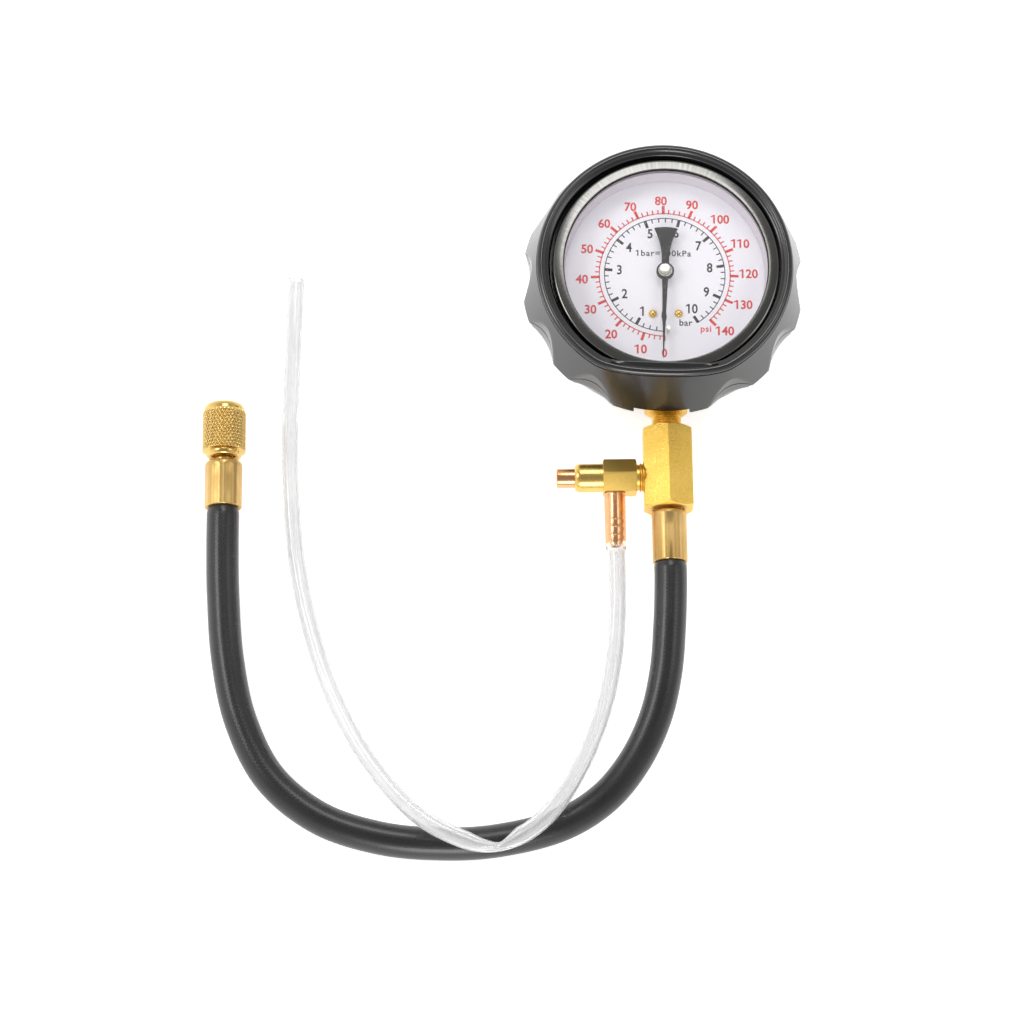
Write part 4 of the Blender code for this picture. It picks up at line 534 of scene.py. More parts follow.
def makeBoot():
    pitch = math.tau / boot["scallops"]
    half = boot["half"]
    scoop = boot["scoopSteps"]
    plain = boot["plainSteps"]
    offsets = [-pitch / 2 + (pitch / 2 - half) * k / plain for k in range(plain)]
    offsets += [half * (k / scoop - 1) for k in range(2 * scoop + 1)]
    offsets += [half + (pitch / 2 - half) * k / plain for k in range(1, plain)]
    rim, rimLevel, rows = boot["rim"], boot["rimLevel"], boot["rows"]
    slope = (boot["flare"] - rim) / (rimLevel - boot["wide"])
    profile = list(boot["lip"])
    for k in range(rows + 1):
        level = rimLevel + (boot["wide"] - rimLevel) * k / rows
        profile.append((rim + slope * (rimLevel - level), level))
    profile.append((boot["flare"] - boot["landing"][0], boot["wide"] - boot["landing"][1]))
    profile += boot["foot"]
    verts = []
    for radius, level in profile:
        scooped = boot["scoopBottom"] < level <= rimLevel and radius > boot["scoopInside"]
        for place in range(boot["scallops"]):
            for offset in offsets:
                reach = radius
                if radius > boot["dipInside"]:
                    reach -= rimDip(place * pitch + offset, level)
                if place and scooped:
                    reach = scallopReach(reach, offset, level)
                verts.append(bootSpot(reach, place * pitch + offset, level))
    faces = gridFaces(len(profile), boot["scallops"] * len(offsets))
    body = addMesh("boot_body", verts, faces, None, "boot", boot["sharp"])
    tidy(body, boot["sharp"])
    lining = lathe("boot_lining", boot["lining"], 96, "boot")
    whole = gather("boot_shell", [body, lining], "boot")
    tidy(whole, boot["sharp"])
    carve(whole, box("slot", *boot["slot"], None, Matrix.Rotation(boot["twist"], 4, "Z")))
    obj = gather("rubber_boot", [whole, makeTab()], "boot")
    obj.data.set_sharp_from_angle(angle=math.radians(boot["sharp"]))
    dress(obj, "black_rubber", "rubber_boot")
    makeMouldLines()


tab = {"half": math.radians(27.0), "edge": 34.4, "edgeLimit": 38.6, "level": 36.95, "steps": 80,
       "sharp": 50}


def makeTab():
    # A flap over the bezel, from its straight free edge out to the lip.
    verts = []
    steps = tab["steps"]
    for k in range(steps + 1):
        turn = tab["half"] * (2 * k / steps - 1)
        dip = rimDip(turn, tab["level"])
        edge = min(tab["edge"] / math.cos(turn), tab["edgeLimit"] - dip)
        section = [(edge, 36.32), (edge + 0.03, 36.52), (edge + 0.2, 36.66), (edge + 0.45, 36.7),
                   (max(edge + 0.6, 38.9 - dip), 36.5), (39.7 - dip, 36.12), (39.7 - dip, 35.8),
                   (max(edge + 0.3, 38.7 - dip), 36.15)]
        verts += [bootSpot(r, turn, z, False) for r, z in section]
    count = len(section)
    faces = gridFaces(steps + 1, count)
    faces += [tuple(range(count)), tuple(reversed(range(steps * count, (steps + 1) * count)))]
    flap = addMesh("boot_tab", verts, faces, None, "boot", tab["sharp"])
    tidy(flap, tab["sharp"])
    return flap


# A fine mould line crosses each scallop, widest and highest at its middle: painted groove shade.
mould = {"steps": 24, "share": 0.93, "above": 0.25, "rise": 4.6, "half": 0.2, "taper": 0.5,
         "proud": 0.03}


def makeMouldLines():
    steps = mould["steps"]
    verts = []
    faces = []
    for place in range(1, boot["scallops"]):
        start = len(verts)
        for k in range(steps + 1):
            offset = boot["half"] * mould["share"] * (2 * k / steps - 1)
            bend = (offset / boot["half"]) ** 2
            middle = boot["wide"] + mould["above"] + mould["rise"] * (1 - bend)
            thick = mould["half"] * (1 - mould["taper"] * bend)
            for level in (middle - thick, middle + thick):
                reach = scallopReach(math.inf, offset, level) + mould["proud"]
                verts.append(bootSpot(reach, place * math.tau / boot["scallops"] + offset, level))
        faces += [(a, a + 2, a + 3, a + 1) for a in range(start, start + 2 * steps, 2)]
    lines = addMesh("boot_mould_line_shade", verts, faces, None, "painted_crease_shade")
    dress(lines, "black_rubber")


bezelSections = {
    "ring": [(34, 35.45), (34, 35.98), (34.05, 36.08), (34.15, 36.12), (34.22, 36.125),
             (35.3, 36.03), (36.7, 35.86), (36.8, 35.845), (37.15, 35.76), (37.42, 35.55),
             (37.56, 35.25), (37.6, 34.9), (37.6, 30.9), (36.7, 30.9), (36.7, 35.4)],
    "window": [(0, 34.9), (35.2, 34.9), (35.3, 34.8), (35.3, 33.15), (0, 33.15)],
    "gasket": [(33.78, 35), (33.78, 35.35), (35.3, 35.35), (35.3, 35)],
    "spacer": [(33.4, 26.7), (33.9, 32.9), (35.3, 32.9), (35.3, 26.7)],
}


def makeBezel():
    for key, name, sides, look, slotName, node in (
            ("ring", "bezel", 160, "bezel", "steel", "bezel_ring"),
            ("window", "window_glass", 96, "glass", "glass", "window"),
            ("gasket", "gasket", 128, "seal", "seal_rubber", "window_gasket"),
            ("spacer", "spacer", 128, "spacer", "pale_plastic", "spacer_ring")):
        piece = lathe(name, bezelSections[key], sides, look, closed=key != "window")
        dress(piece, slotName, node)


# Angles in degrees, clockwise from the stem. A tick is (inner radius, outer radius, width), and
# a text style is (size, look, weight, squeeze).
dial = {
    "face": [(0, 26.5), (35.3, 26.5), (35.3, 25.9), (0, 25.9)], "inkLevel": 26.52, "turn": 1.5,
    "psiFirst": 19.6, "psiStep": 2.2945, "psiEarly": {0: 1.5, 4: 5.4, 6: 10.1, 8: 14.6},
    "barFirst": 29.5, "barStep": 33.17, "barStart": 2.6,
    "redArc": 21.87, "redBand": 0.34, "redShort": (21.87, 23.3, 0.42),
    "redLong": (21.7, 24.7, 0.95), "redZero": (21.7, 23.6, 0.5),
    "blackArc": 20.14, "blackBand": 0.3, "blackShort": (18.7, 20.14, 0.38),
    "blackLong": (17.55, 20.29, 1.0),
    "psiReach": 27.0, "psiTaller": 0.7, "psiWider": 0.35, "psiBack": 1.6,
    "psiStyle": (4.3, "red ink", 0.11, 0.95),
    "zeroSpot": (1.6, 28.0), "zeroStyle": (4.0, "red ink", 0.11, 0.9),
    "barReach": 15.2, "barAhead": 0.5, "tenAhead": -3.0,
    "barStyle": (4.6, "black ink", 0.1, 0.86),
    "screwSpot": (4.3, -14), "screw": [
        (0, 27.72), (0.35, 27.7), (0.7, 27.6), (1.0, 27.42), (1.22, 27.15), (1.34, 26.85),
        (1.35, 26.7), (0.7, 26.7), (0.7, 25.0), (0, 25.0)],
}


def dialSpot(angle, radius):
    turn = math.radians(angle)
    return Vector((-math.sin(turn) * radius, -math.cos(turn) * radius))


def dialBand(start, end, radius, width):
    steps = max(2, int((end - start) / 2))
    inner, outer = radius - width / 2, radius + width / 2
    turns = [start + (end - start) * k / steps for k in range(steps + 1)]
    return [[dialSpot(a, inner), dialSpot(b, inner), dialSpot(b, outer), dialSpot(a, outer)]
            for a, b in zip(turns, turns[1:])]


def dialTick(angle, inner, outer, width):
    along = dialSpot(angle, 1.0)
    across = Vector((along.y, -along.x)) * width / 2
    return [along * inner - across, along * inner + across, along * outer + across,
            along * outer - across]


def inkMesh(name, quads, look):
    level = dial["inkLevel"] * mm
    verts = [(p.x * mm, p.y * mm, level) for quad in quads for p in quad]
    faces = [tuple(range(k, k + 4)) for k in range(0, len(verts), 4)]
    obj = addMesh(name, verts, faces, None, look)
    for polygon in obj.data.polygons:
        if polygon.normal.z < 0:
            polygon.flip()
    return obj


# A tall, thin island is a digit 1. Root and reach are shares of its width, the rest of its
# height.
flagOf1 = {"tall": 0.85, "thin": 0.25, "root": 0.1, "reach": 1.4, "tip": (0.17, 0.29),
           "under": 0.19}


def flagOnes(mesh):
    # The font's digit 1 is a plain upright: it gets its slanted flag.
    bm = bmesh.new()
    bm.from_mesh(mesh)
    levels = [v.co.y for v in bm.verts]
    textHeight = max(levels) - min(levels)
    seen = set()
    for start in list(bm.verts):
        if start in seen:
            continue
        seen.add(start)
        island = [start]
        for vert in island:
            for edge in vert.link_edges:
                other = edge.other_vert(vert)
                if other not in seen:
                    seen.add(other)
                    island.append(other)
        xs = [v.co.x for v in island]
        ys = [v.co.y for v in island]
        left, top = min(xs), max(ys)
        width, height = max(xs) - left, top - min(ys)
        if height > flagOf1["tall"] * textHeight and width < flagOf1["thin"] * height:
            root = left + flagOf1["root"] * width
            tip = left - flagOf1["reach"] * width
            upper, lower = flagOf1["tip"]
            flag = [(root, top), (tip, top - upper * height), (tip, top - lower * height),
                    (root, top - flagOf1["under"] * height)]
            bm.faces.new([bm.verts.new((u, v, 0)) for u, v in flag])
    bm.to_mesh(mesh)
    bm.free()


def inkText(words, x, y, size, look, weight, squeeze, spacing=1.0):
    curve = bpy.data.curves.new("print", "FONT")
    curve.body = words
    curve.align_x = "CENTER"
    curve.align_y = "CENTER"
    curve.size = size * mm
    curve.offset = weight * mm
    curve.space_character = spacing
    curve.resolution_u = 3
    holder = addObject("print", curve)
    turn = Matrix.Rotation(-math.radians(dial["turn"]), 4, "Z")
    holder.matrix_world = (Matrix.Translation((x * mm, y * mm, dial["inkLevel"] * mm)) @ turn
                           @ Matrix.Diagonal((squeeze, 1, 1, 1)))
    mesh = evaluated(holder)
    flagOnes(mesh)
    mesh.transform(holder.matrix_world)
    discard(holder)
    obj = addObject("print " + words, mesh)
    mesh.materials.clear()
    mesh.materials.append(looks[look])
    return obj


def psiAngle(value):
    if value >= 10:
        return dial["psiFirst"] + (value - 10) * dial["psiStep"]
    return dial["psiEarly"][value]


def barAngle(value):
    # The scale starts at 0.2 bar, and its first bar is shorter.
    if value >= 1:
        return dial["barFirst"] + (value - 1) * dial["barStep"]
    return dial["barStart"] + (value - 0.2) / 0.8 * (dial["barFirst"] - dial["barStart"])


def makeDial():
    dress(lathe("dial_face", dial["face"], 128, "dial"), "dial_paint", "dial_plate")
    red = dialBand(psiAngle(0), psiAngle(140), dial["redArc"], dial["redBand"])
    for value in [0, 4, 6, 8] + list(range(10, 141, 2)):
        kind = "redShort" if value % 10 else "redLong" if value else "redZero"
        red.append(dialTick(psiAngle(value), *dial[kind]))
    black = dialBand(barAngle(0.2), barAngle(10), dial["blackArc"], dial["blackBand"])
    for fifth in range(1, 51):
        kind = "blackShort" if fifth % 5 else "blackLong"
        black.append(dialTick(barAngle(fifth / 5), *dial[kind]))
    redPieces = [inkMesh("red_scale", red, "red ink")]
    blackPieces = [inkMesh("black_scale", black, "black ink")]
    for value in range(10, 141, 10):
        angle = psiAngle(value) - dial["psiBack"]
        turn = math.radians(angle)
        digits = len(str(value))
        reach = (dial["psiReach"] + dial["psiTaller"] * math.cos(turn)
                 + dial["psiWider"] * digits * abs(math.sin(turn)))
        redPieces.append(inkText(str(value), *dialSpot(angle, reach), *dial["psiStyle"]))
    redPieces.append(inkText("0", *dialSpot(*dial["zeroSpot"]), *dial["zeroStyle"]))
    for value in range(1, 11):
        angle = barAngle(value) + dial["tenAhead" if value == 10 else "barAhead"]
        spot = dialSpot(angle, dial["barReach"])
        blackPieces.append(inkText(str(value), *spot, *dial["barStyle"]))
    redPieces.append(inkText("psi", 13.2, -19.5, 3.1, "red ink", 0.06, 1.0, 1.1))
    greyPieces = [inkText("1bar=100kPa", -0.3, 7.5, 2.95, "grey ink", 0.05, 1.03, 1.16),
                  inkText("bar", 6.5, -17.3, 3.2, "grey ink", 0.05, 1.0, 1.05)]
    for colour, pieces in (("red", redPieces), ("black", blackPieces), ("grey", greyPieces)):
        dress(gather(colour + "_print", pieces, colour + " ink"), "dial_paint")
    x, y = dial["screwSpot"]
    for number, side in enumerate((-1, 1), 1):
        screw = lathe(f"dome_screw_{number}", dial["screw"], 32, "gold",
                      Matrix.Translation((side * x * mm, y * mm, 0)))
        dress(screw, "brass", f"dial_screw_{number}")


# Outlines list (distance from the axis, half width); the two sides of the tip differ a little.
needle = {
    "right": [(30.5, 0.1), (27.0, 0.22), (22.0, 0.38), (18.6, 0.5), (17.3, 0.62), (16.6, 0.78),
              (15.8, 0.76), (15.0, 0.62), (12.0, 0.68), (8.0, 0.8), (4.0, 0.95), (2.4, 1.05)],
    "left": [(30.5, 0.1), (27.0, 0.22), (22.0, 0.38), (18.6, 0.5), (17.3, 0.66), (16.2, 0.95),
             (15.2, 0.92), (14.2, 0.72), (12.0, 0.7), (8.0, 0.8), (4.0, 0.95), (2.4, 1.05)],
    "tail": [(2.4, 1.22), (5.0, 1.25), (7.0, 1.42), (9.0, 1.72), (11.0, 2.25), (12.8, 2.9),
             (14.2, 3.5), (14.9, 3.82), (15.15, 3.9), (15.35, 3.7), (15.55, 2.6), (15.68, 1.3),
             (15.72, 0.0)],
    "turn": 2.5, "low": 29.4, "high": 30.0, "edge": 0.08,
    "hub": [(1.8, 29.1), (1.8, 30.5), (2.75, 30.5), (2.95, 30.3), (2.95, 29.1)],
    "cap": [(0, 31.2), (0.16, 31.22), (0.2, 31.42), (1.6, 31.42), (2.05, 31.3), (2.3, 30.95),
            (2.35, 30.7), (1.5, 30.7), (1.5, 28.2), (0, 28.2)],
}


def makePointer():
    outline = [(half, -reach) for reach, half in needle["right"]]
    outline += [(half, reach) for reach, half in needle["tail"]]
    outline += [(-half, reach) for reach, half in reversed(needle["tail"][:-1])]
    outline += [(-half, -reach) for reach, half in reversed(needle["left"])]
    place = Matrix.Rotation(-math.radians(needle["turn"]), 4, "Z")
    blade = prism("blade", outline, needle["low"], needle["high"], "pointer", place)
    roundEdges(blade, needle["edge"])
    hub = lathe("hub", needle["hub"], 64, "pointer", closed=True)
    pointer = gather("pointer_blade", [blade, hub], "pointer")
    dress(pointer, "black_paint", "pointer", body="pointer")
    cap = lathe("pointer_cap", needle["cap"], 64, "silver")
    dress(cap, "bright_steel", "pointer_bushing", body="pointer")


# The crest is given as shares of the pitch.
pipeThread = {"radius": 4.85, "pitch": 0.907, "crest": (0.42, 0.58)}
cornerRounding = (3, 25)


def threadProfile(start, end, depth):
    radius, pitch = pipeThread["radius"], pipeThread["pitch"]
    points = []
    turns = int((end - start) / pitch)
    for k in range(turns):
        base = start + k * pitch
        points.append((radius - depth, base))
        points += [(radius, base + share * pitch) for share in pipeThread["crest"]]
    points.append((radius - depth, start + turns * pitch))
    return points


def hexBar(name, across, low, high, chamfer, place, look, start=0.0):
    # A cone cut at each end, of 30 degrees, takes off the corners.
    past = 0.3
    slack = 0.001
    corner = across / math.sqrt(3)
    turns = [start + math.tau * k / 6 for k in range(6)]
    outline = [(corner * math.cos(turn), corner * math.sin(turn)) for turn in turns]
    bar = prism(name, outline, low, high, look, place)
    rim = corner - chamfer / math.tan(math.radians(30))
    cone = lathe("cone", [(0, high + slack), (rim, high + slack),
                          (corner + past, high - chamfer - past / 2),
                          (corner + past, low + chamfer + past / 2),
                          (rim, low - slack), (0, low - slack)], 96, None, place)
    carve(bar, cone, "INTERSECT")
    return bar


stem = {
    "square": ((-7, -7, 28), (7, 7, 45.8)), "socket": ((-6.5, -32.6, 4.4), (6.5, -13.0, 16.0)),
    "half": 7, "topRadius": 4.85, "top": 45.801, "taper": 1.5, "taperStart": 44.3,
    "outside": 12.0, "below": 20, "root": [(0, 44.0), (4.2, 44.0)], "thread": (45.4, 58.0, 0.55),
    "end": [(4.2, 58.6), (0, 58.7)],
}


def makeStem():
    block = box("stem_square", *stem["square"], "brass", stemAxis)
    slope = (stem["half"] - stem["topRadius"]) / stem["taper"]
    outside = stem["outside"]
    cone = lathe("stem_cone", [(0, stem["top"]), (stem["topRadius"], stem["top"]),
                               (outside, stem["taperStart"] - (outside - stem["half"]) / slope),
                               (outside, stem["below"]), (0, stem["below"])],
                 96, None, stemAxis)
    carve(block, cone, "INTERSECT")
    thread = stem["root"] + threadProfile(*stem["thread"]) + stem["end"]
    screwed = lathe("stem_thread", thread, 64, "brass", stemAxis)
    socket = box("socket", *stem["socket"], "brass")
    whole = gather("stem", [block, screwed, socket], "brass")
    dress(whole, "brass", "gauge_stem")


teeShape = {
    "across": 16.0, "low": 50.1, "high": 78.4, "chamfer": 0.95, "edge": 0.28,
    "bore": [(0, 81), (5.15, 81), (5.15, 72.1), (1.75, 70.7), (1.75, 60.5), (5.15, 59.1),
             (5.15, 49), (0, 49)],
    "sideBore": [(0, 16), (5.15, 16), (5.15, 2.6), (0, 1.6)],
}


def makeTee():
    tee = hexBar("tee", teeShape["across"], teeShape["low"], teeShape["high"],
                 teeShape["chamfer"], stemAxis, "brass", math.radians(30))
    carve(tee, lathe("tee_bore", teeShape["bore"], 64, None, stemAxis))
    carve(tee, lathe("side_bore", teeShape["sideBore"], 64, None, valveAxis))
    roundEdges(tee, teeShape["edge"], *cornerRounding)
    settle(tee)
    dress(tee, "brass", "tee_body")


valve = {
    "across": 11, "low": 10.5, "high": 21.6, "chamfer": 0.35, "edge": 0.2,
    "sleeve": [(3.58, 29.65), (3.58, 31), (3.85, 31), (4.25, 30.75), (4.6, 30.2), (4.8, 29.4),
               (4.83, 28.9), (4.83, 21.5), (3.4, 21.5)],
    "neckStart": [(0, 2.9), (4.25, 2.9)], "neckThread": (3.2, 10.2, 0.5),
    "neckEnd": [(4.4, 10.9), (0, 10.9)],
    "button": [(0, 37.1), (2.5, 37.1), (3, 37.02), (3.2, 36.85), (3.28, 36.5), (3.28, 29.35),
               (3.83, 29.35), (3.83, 27.95), (1.1, 27.95), (1.1, 10.1), (1.9, 10.1), (1.9, 9.5),
               (0, 9.2)],
}


def makeValve():
    dress(lathe("sleeve", valve["sleeve"], 96, "polished", valveAxis), "brass")
    body = hexBar("valve", valve["across"], valve["low"], valve["high"], valve["chamfer"],
                  valveAxis, "olive")
    roundEdges(body, valve["edge"], *cornerRounding)
    neck = valve["neckStart"] + threadProfile(*valve["neckThread"]) + valve["neckEnd"]
    screwed = lathe("neck", neck, 64, "brass", valveAxis)
    dress(gather("valve_hexagon", [body, screwed], "olive"), "brass", "valve_body")
    button = lathe("button", valve["button"], 64, "copper", valveAxis)
    dress(button, "copper_brass", "valve_button", body="button")


# Each ring of the barb rises to its crest, and drops within edge and drop past it.
barb = {"root": 71.0, "tip": 90.5, "bore": 1.2, "tipRadius": 1.95, "rings": (3.0, 5.9, 8.5),
        "crest": 2.8, "edge": (2.78, 0.12), "drop": (2.3, 0.25), "shank": 2.45, "shankEnd": 9.6}


def makeBarb():
    tip = barb["tip"]
    section = [(barb["bore"], barb["root"]), (barb["bore"], tip), (barb["tipRadius"], tip)]
    for back in barb["rings"]:
        section.append((barb["crest"], tip - back))
        section += [(radius, tip - back - off) for radius, off in (barb["edge"], barb["drop"])]
    section += [(barb["shank"], tip - barb["shankEnd"]), (barb["shank"], barb["root"])]
    piece = lathe("barb", section, 64, "copper", barbAxis, closed=True)
    dress(piece, "copper_brass", "drain_barb")


# The flats start past plain and are full after ease; flat is a share of the radius.
crimp = {"flats": 8, "flat": 0.966, "widest": 0.9, "plain": 1.7, "ease": 0.5, "skin": 0.9,
         "mouth": 3.3, "mouthDepth": 1.4, "bore": 4.9}


def makeFerrule(name, node, radius, start, length, place, firstAngle):
    end = start + length

    def crimped(r, level, turn):
        if r < radius - crimp["skin"] or level < start + crimp["plain"]:
            return r
        share = min(1.0, (level - start - crimp["plain"]) / crimp["ease"])
        step = math.tau / crimp["flats"]
        off = (turn - firstAngle + step / 2) % step - step / 2
        flat = radius * crimp["flat"] / max(math.cos(off), crimp["widest"])
        return r + (min(r, flat) - r) * share

    inner = start + crimp["mouthDepth"]
    shoulder = [(1.1, 0.0), (0.55, 0.12), (0.2, 0.45)]
    profile = [(crimp["mouth"], inner), (crimp["mouth"], start)]
    profile += [(radius - less, start + along) for less, along in shoulder]
    profile += [(radius, start + along) for along in (1.0, 1.7, 2.2, 6.0, 11.0)]
    profile += [(radius, end - 0.25), (radius - 0.3, end), (crimp["bore"], end),
                (crimp["bore"], inner)]
    sleeve = lathe(name, profile, 128, "crimped", place, closed=True, radiusAt=crimped, sharp=24)
    return dress(sleeve, "brass", node)


# Levels of the nut count from its mouth, and those of the neck from the frame's origin.
coupler = {
    "mouth": 38.1, "radius": 7.25, "sides": 456, "rows": 110, "sharp": 60,
    "inside": [(5.5, 0.0), (5.0, 0.6), (5.0, 16.2), (3.95, 16.2), (3.95, 17.8), (4.65, 18.6),
               (5.2, 18.6), (5.9, 17.8), (5.95, 16.9), (6.9, 16.5)],
    "rim": [(6.95, 2.55), (6.85, 2.3), (6.88, 1.9), (6.65, 0.9), (6.2, 0.25), (5.8, 0.0)],
    "neck": [(1.2, 51.2), (1.2, 72.0), (2.2, 72.0), (2.2, 60.0), (3.0, 59.7), (3.0, 58.0),
             (3.3, 58.0), (3.3, 54.0), (4.65, 54.0), (4.65, 51.2)],
}
knurl = {"start": 2.8, "end": 16.4, "count": 36, "depth": 0.5, "lean": 0.577, "ease": 0.4,
         "steep": 1.2}


def makeCoupler():
    mouth, nutRadius, rows = coupler["mouth"], coupler["radius"], coupler["rows"]
    count = knurl["count"]
    start = mouth + knurl["start"]
    end = mouth + knurl["end"]
    profile = [(radius, mouth + level) for radius, level in coupler["inside"]]
    profile += [(nutRadius, end - (end - start) * k / rows) for k in range(rows + 1)]
    profile += [(radius, mouth + level) for radius, level in coupler["rim"]]

    def pressed(r, level, turn):
        if abs(r - nutRadius) > 0.001:
            return r
        lead = (level - start) * knurl["lean"] * count / nutRadius
        a, b = (abs(((turn * count + wound) / math.tau) % 1.0 - 0.5) * 2
                for wound in (lead, -lead))
        ease = min(1.0, (level - start) / knurl["ease"], (end - level) / knurl["ease"])
        return r - knurl["depth"] * (1 - min(1.0, knurl["steep"] * min(a, b))) * max(0.0, ease)

    nut = lathe("coupler", profile, coupler["sides"], "knurled", couplerAxis, closed=True,
                radiusAt=pressed, sharp=coupler["sharp"])
    dress(nut, "brass", "coupler_nut", body="coupler")
    neck = lathe("coupler_neck", coupler["neck"], 64, "polished", couplerAxis, closed=True)
    dress(neck, "brass", "coupler_insert")
    return nut, neck


hosePath = (
    (0, -80.9, 13.4), (0, -88, 13.4), (0, -95.5, 13.4), (0, -103, 13.3),
    (-0.7, -117.4, 12.6), (-2.3, -133.1, 10.9), (-6.2, -148.2, 8.9), (-13.3, -162.1, 7),
    (-23.5, -173.8, 5.8), (-38, -182.3, 5.5), (-58, -187, 5.5), (-76.4, -187.8, 5.5),
    (-95.8, -185.7, 5.5), (-115.5, -178.9, 5.5), (-131.6, -165.5, 5.5), (-141.3, -146.4, 5.5),
    (-145.9, -125.4, 5.6), (-147.6, -104, 6.2), (-148, -88, 6.9), (-148, -76, 7.1),
    (-148, -68, 7.1), (-148, -60.9, 7.1),
)
# The hose is thinner where the ferrules cover it, and swells over ease past each of them.
hoseShape = {"step": 1.5, "sides": 40, "thin": 4.6, "swell": 0.8, "ease": 0.9,
             "underTee": 96.4 - 80.9, "underCoupler": 74.1 - 60.9}


def makeHose():
    route, length = smoothRoute(hosePath, hoseShape["step"])

    def radius(i, turn):
        s = length * i / (len(route) - 1)
        near = min(s - hoseShape["underTee"], length - s - hoseShape["underCoupler"])
        share = max(0.0, min(1.0, near / hoseShape["ease"]))
        return hoseShape["thin"] + hoseShape["swell"] * math.sin(share * math.pi / 2)

    hose = sweep("hose", route, radius, hoseShape["sides"], "hose")
    dress(hose, "hose_rubber", "pressure_hose")


drainPath = (
    (-17.8, -72.75, 13.4), (-17.8, -82, 13.4), (-17.7, -90.6, 13.4), (-17.5, -99, 13.4),
    (-17.9, -115, 13.4), (-19.7, -131.2, 13.4), (-23.6, -147.2, 13.5), (-30.1, -163.1, 13.8),
    (-38.5, -176.6, 14.3), (-47.1, -184.5, 14.5), (-56.9, -188.2, 14.6), (-67.5, -187.9, 14.6),
    (-81, -181.6, 14.2), (-92.3, -170.8, 13), (-103, -155.5, 10.9), (-111.8, -137.1, 8.4),
    (-118, -118, 6), (-122.4, -99, 4.2), (-124.8, -81, 3.3), (-126, -61.1, 3.05),
    (-126.2, -44.2, 3.05), (-125.7, -27, 3.05), (-125.2, -9.8, 3.05), (-124.5, 8.4, 3.05),
)
drain = {"step": 0.8, "sides": 36, "radius": 2.95, "wall": 0.85, "collar": 0.62,
         "collarEnd": 17.9, "collarEase": 2.0, "collarWall": 1.3}
# The kink pinches the tube across and makes it taller.
kink = {"spot": Vector((-57.5, -188.4, 14.6)), "before": 6.6, "beyond": 10.0, "round": 0.9,
        "power": 1.5, "across": 0.54, "tall": 0.22, "bulge": 0.9, "bulgeReach": 16}


def makeDrainTube():
    route, length = smoothRoute(drainPath, drain["step"])
    size = drain["radius"]
    kinkAt = min(range(len(route)), key=lambda i: (route[i] - kink["spot"]).length)

    def pinchAt(i):
        reach = kink["beyond"] if i > kinkAt else kink["before"]
        off = math.hypot((route[i] - kink["spot"]).length, kink["round"]) - kink["round"]
        return max(0.0, 1 - off / reach) ** kink["power"]

    def pastCollar(i):
        return length * i / (len(route) - 1) - drain["collarEnd"]

    def radius(i, turn):
        collar = 1.0 - max(0.0, min(1.0, pastCollar(i) / drain["collarEase"]))
        wide = size + drain["collar"] * collar
        pinch = pinchAt(i)
        across = wide * (1 - kink["across"] * pinch)
        tall = wide * (1 + kink["tall"] * pinch)
        return 1 / math.hypot(math.sin(turn) / across, math.cos(turn) / tall)

    def shift(i):
        off = (route[i] - kink["spot"]).length
        bulge = kink["bulge"] * math.exp(-(off / kink["bulgeReach"]) ** 2)
        return -kink["across"] * size * pinchAt(i) - bulge

    def wall(i):
        return drain["wall" if pastCollar(i) > 0 else "collarWall"]

    tube = sweep("clear_tube", route, radius, drain["sides"], "clear", wallAt=wall,
                 shiftAt=shift)
    dress(tube, "clear_plastic", "drain_tube")


# The nodes that nothing replaces keep their CAD mesh; those not named here are brass.
innerLooks = {
    "steel": ("gauge_case", "case_screw_1", "case_screw_2", "link_arm", "hairspring",
              "pinion_arbor", "movement_screw_1", "movement_screw_2", "valve_spring",
              "depressor_pin"),
    "silver": ("stop_pin",), "seal": ("poppet_seal", "coupler_seal"), "bronze": ("bourdon_tube",),
}


def dressRest():
    lookOf = {node: look for look, nodes in innerLooks.items() for node in nodes}
    for node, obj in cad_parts.items():
        obj.data.materials.clear()
        obj.data.materials.append(looks[lookOf.get(node, "brass")])


# The sky is bright below and dark above, and brighter on the side that it leans to. Lamps and
# floor in metres and watts: (spot, size, power).
sky = {"span": (0.30, 0.94), "strength": (1.0, 0.32), "lean": (-0.28, -0.08, 0.0),
       "tint": (1.0, 0.99, 0.98, 1)}
lamps = {
    "left": ((-0.95, 0.12, 1.05), 0.42, 3.6),
    "back": ((0.0, 0.62, 1.05), 0.45, 3.2),
    "right": ((0.85, 0.0, 1.05), 0.5, 1.5),
    "front": ((-0.1, -1.15, 0.50), 0.45, 4.0),
}
lampAim = (-0.05, -0.07, 0)
floorLook = {"half": 4, "level": -0.0002, "colour": (0.93, 0.93, 0.93, 1), "rough": 0.9,
             "specular": 0.1, "glow": 0.60}


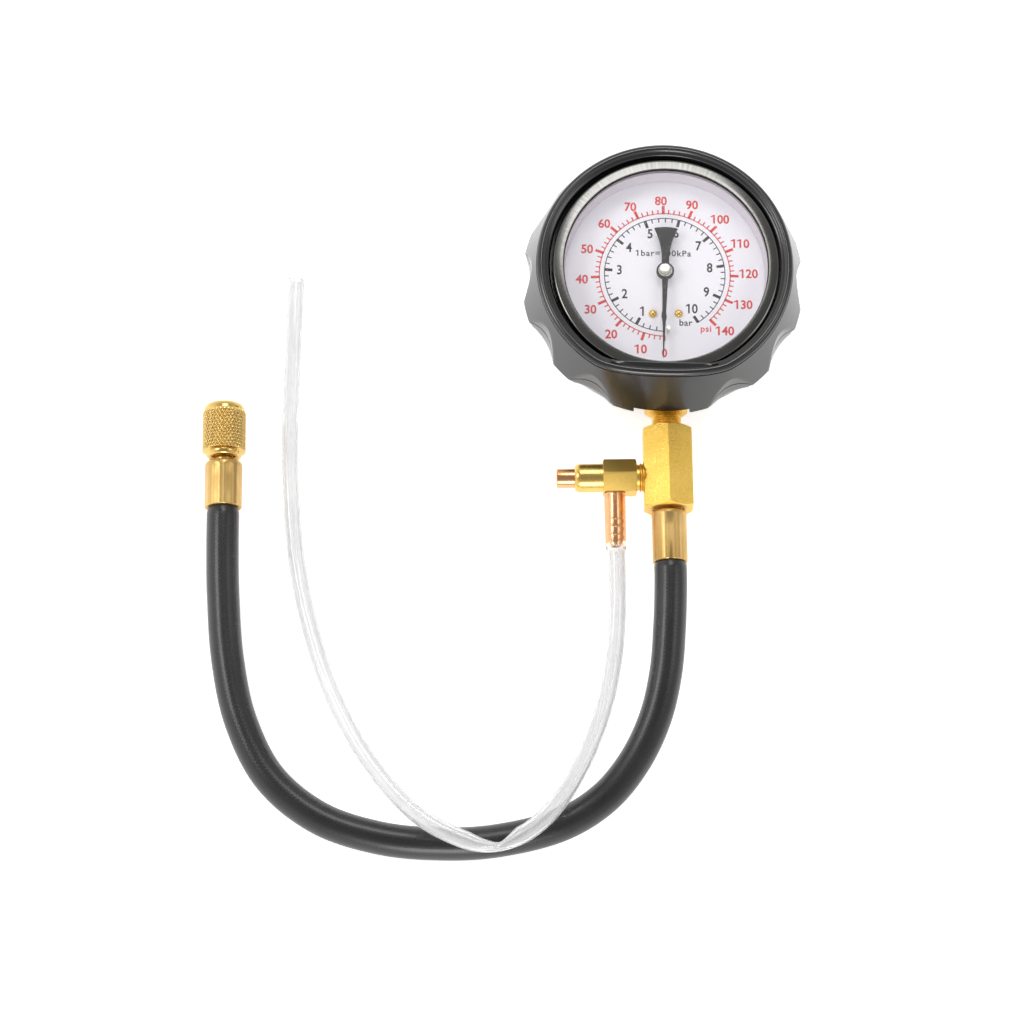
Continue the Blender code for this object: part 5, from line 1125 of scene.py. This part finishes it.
def makeSky():
    world = bpy.data.worlds.new("studio")
    bpy.context.scene.world = world
    world.use_nodes = True
    tree = world.node_tree
    tree.nodes.clear()
    out = addNode(tree, "OutputWorld")
    where = addNode(tree, "TexCoord")
    split = addNode(tree, "SeparateXYZ")
    link(tree, where.outputs["Generated"], split.inputs["Vector"])
    height = remap(tree, split.outputs["Z"], sky["span"], sky["strength"], eased=True)
    aim = addNode(tree, "VectorMath")
    aim.operation = "DOT_PRODUCT"
    aim.inputs[1].default_value = sky["lean"]
    link(tree, where.outputs["Generated"], aim.inputs[0])
    strength = addMath(tree, "MULTIPLY", height, addMath(tree, "ADD", aim.outputs["Value"], 1.0))
    studio = addNode(tree, "Background", {"Color": sky["tint"]})
    link(tree, strength, studio.inputs["Strength"])
    white = addNode(tree, "Background", {"Color": (1, 1, 1, 1)})
    rays = addNode(tree, "LightPath")
    mixed = mixShaders(tree, rays.outputs["Is Camera Ray"], studio.outputs[0], white.outputs[0])
    link(tree, mixed, out.inputs["Surface"])


def makeFloor():
    half, level = floorLook["half"], floorLook["level"]
    corners = [(-half, -half, level), (half, -half, level), (half, half, level),
               (-half, half, level)]
    floor = addMesh("floor", corners, [(0, 1, 2, 3)])
    material = bpy.data.materials.new("floor")
    material.use_nodes = True
    tree = material.node_tree
    shader = tree.nodes["Principled BSDF"]
    setInputs(shader, {"Base Color": floorLook["colour"], "Roughness": floorLook["rough"],
                       "Specular IOR Level": floorLook["specular"]})
    glow = addNode(tree, "Emission", {"Strength": floorLook["glow"]})
    add = addNode(tree, "AddShader")
    link(tree, shader.outputs[0], add.inputs[0])
    link(tree, glow.outputs[0], add.inputs[1])
    link(tree, add.outputs[0], tree.nodes["Material Output"].inputs["Surface"])
    floor.data.materials.append(material)


def makeStage():
    makeSky()
    makeFloor()
    for name, (spot, size, power) in lamps.items():
        data = bpy.data.lights.new(name, "AREA")
        data.size = size
        data.energy = power
        lamp = addObject(name, data)
        lamp.location = spot
        aim = Vector(lampAim) - Vector(spot)
        lamp.rotation_euler = aim.to_track_quat("-Z", "Y").to_euler()
    bpy.context.scene.view_settings.view_transform = "Standard"


makeCamera()
makeStage()
dressRest()
print("stage: camera and light")
makeBoot()
makeBezel()
makeDial()
makePointer()
print("stage: gauge")
makeStem()
makeTee()
makeValve()
makeBarb()
makeFerrule("ferrule_by_the_tee", "upper_ferrule", 5.87, 78.9, 17.5, stemAxis, math.radians(90))
lowerFerrule = makeFerrule("ferrule_by_the_coupler", "lower_ferrule", 6.19, 58.3, 15.8,
                           couplerAxis, math.radians(68))
nutPiece, neckPiece = makeCoupler()
print("stage: brass")
makeHose()
makeDrainTube()
print("stage: hose and tube")
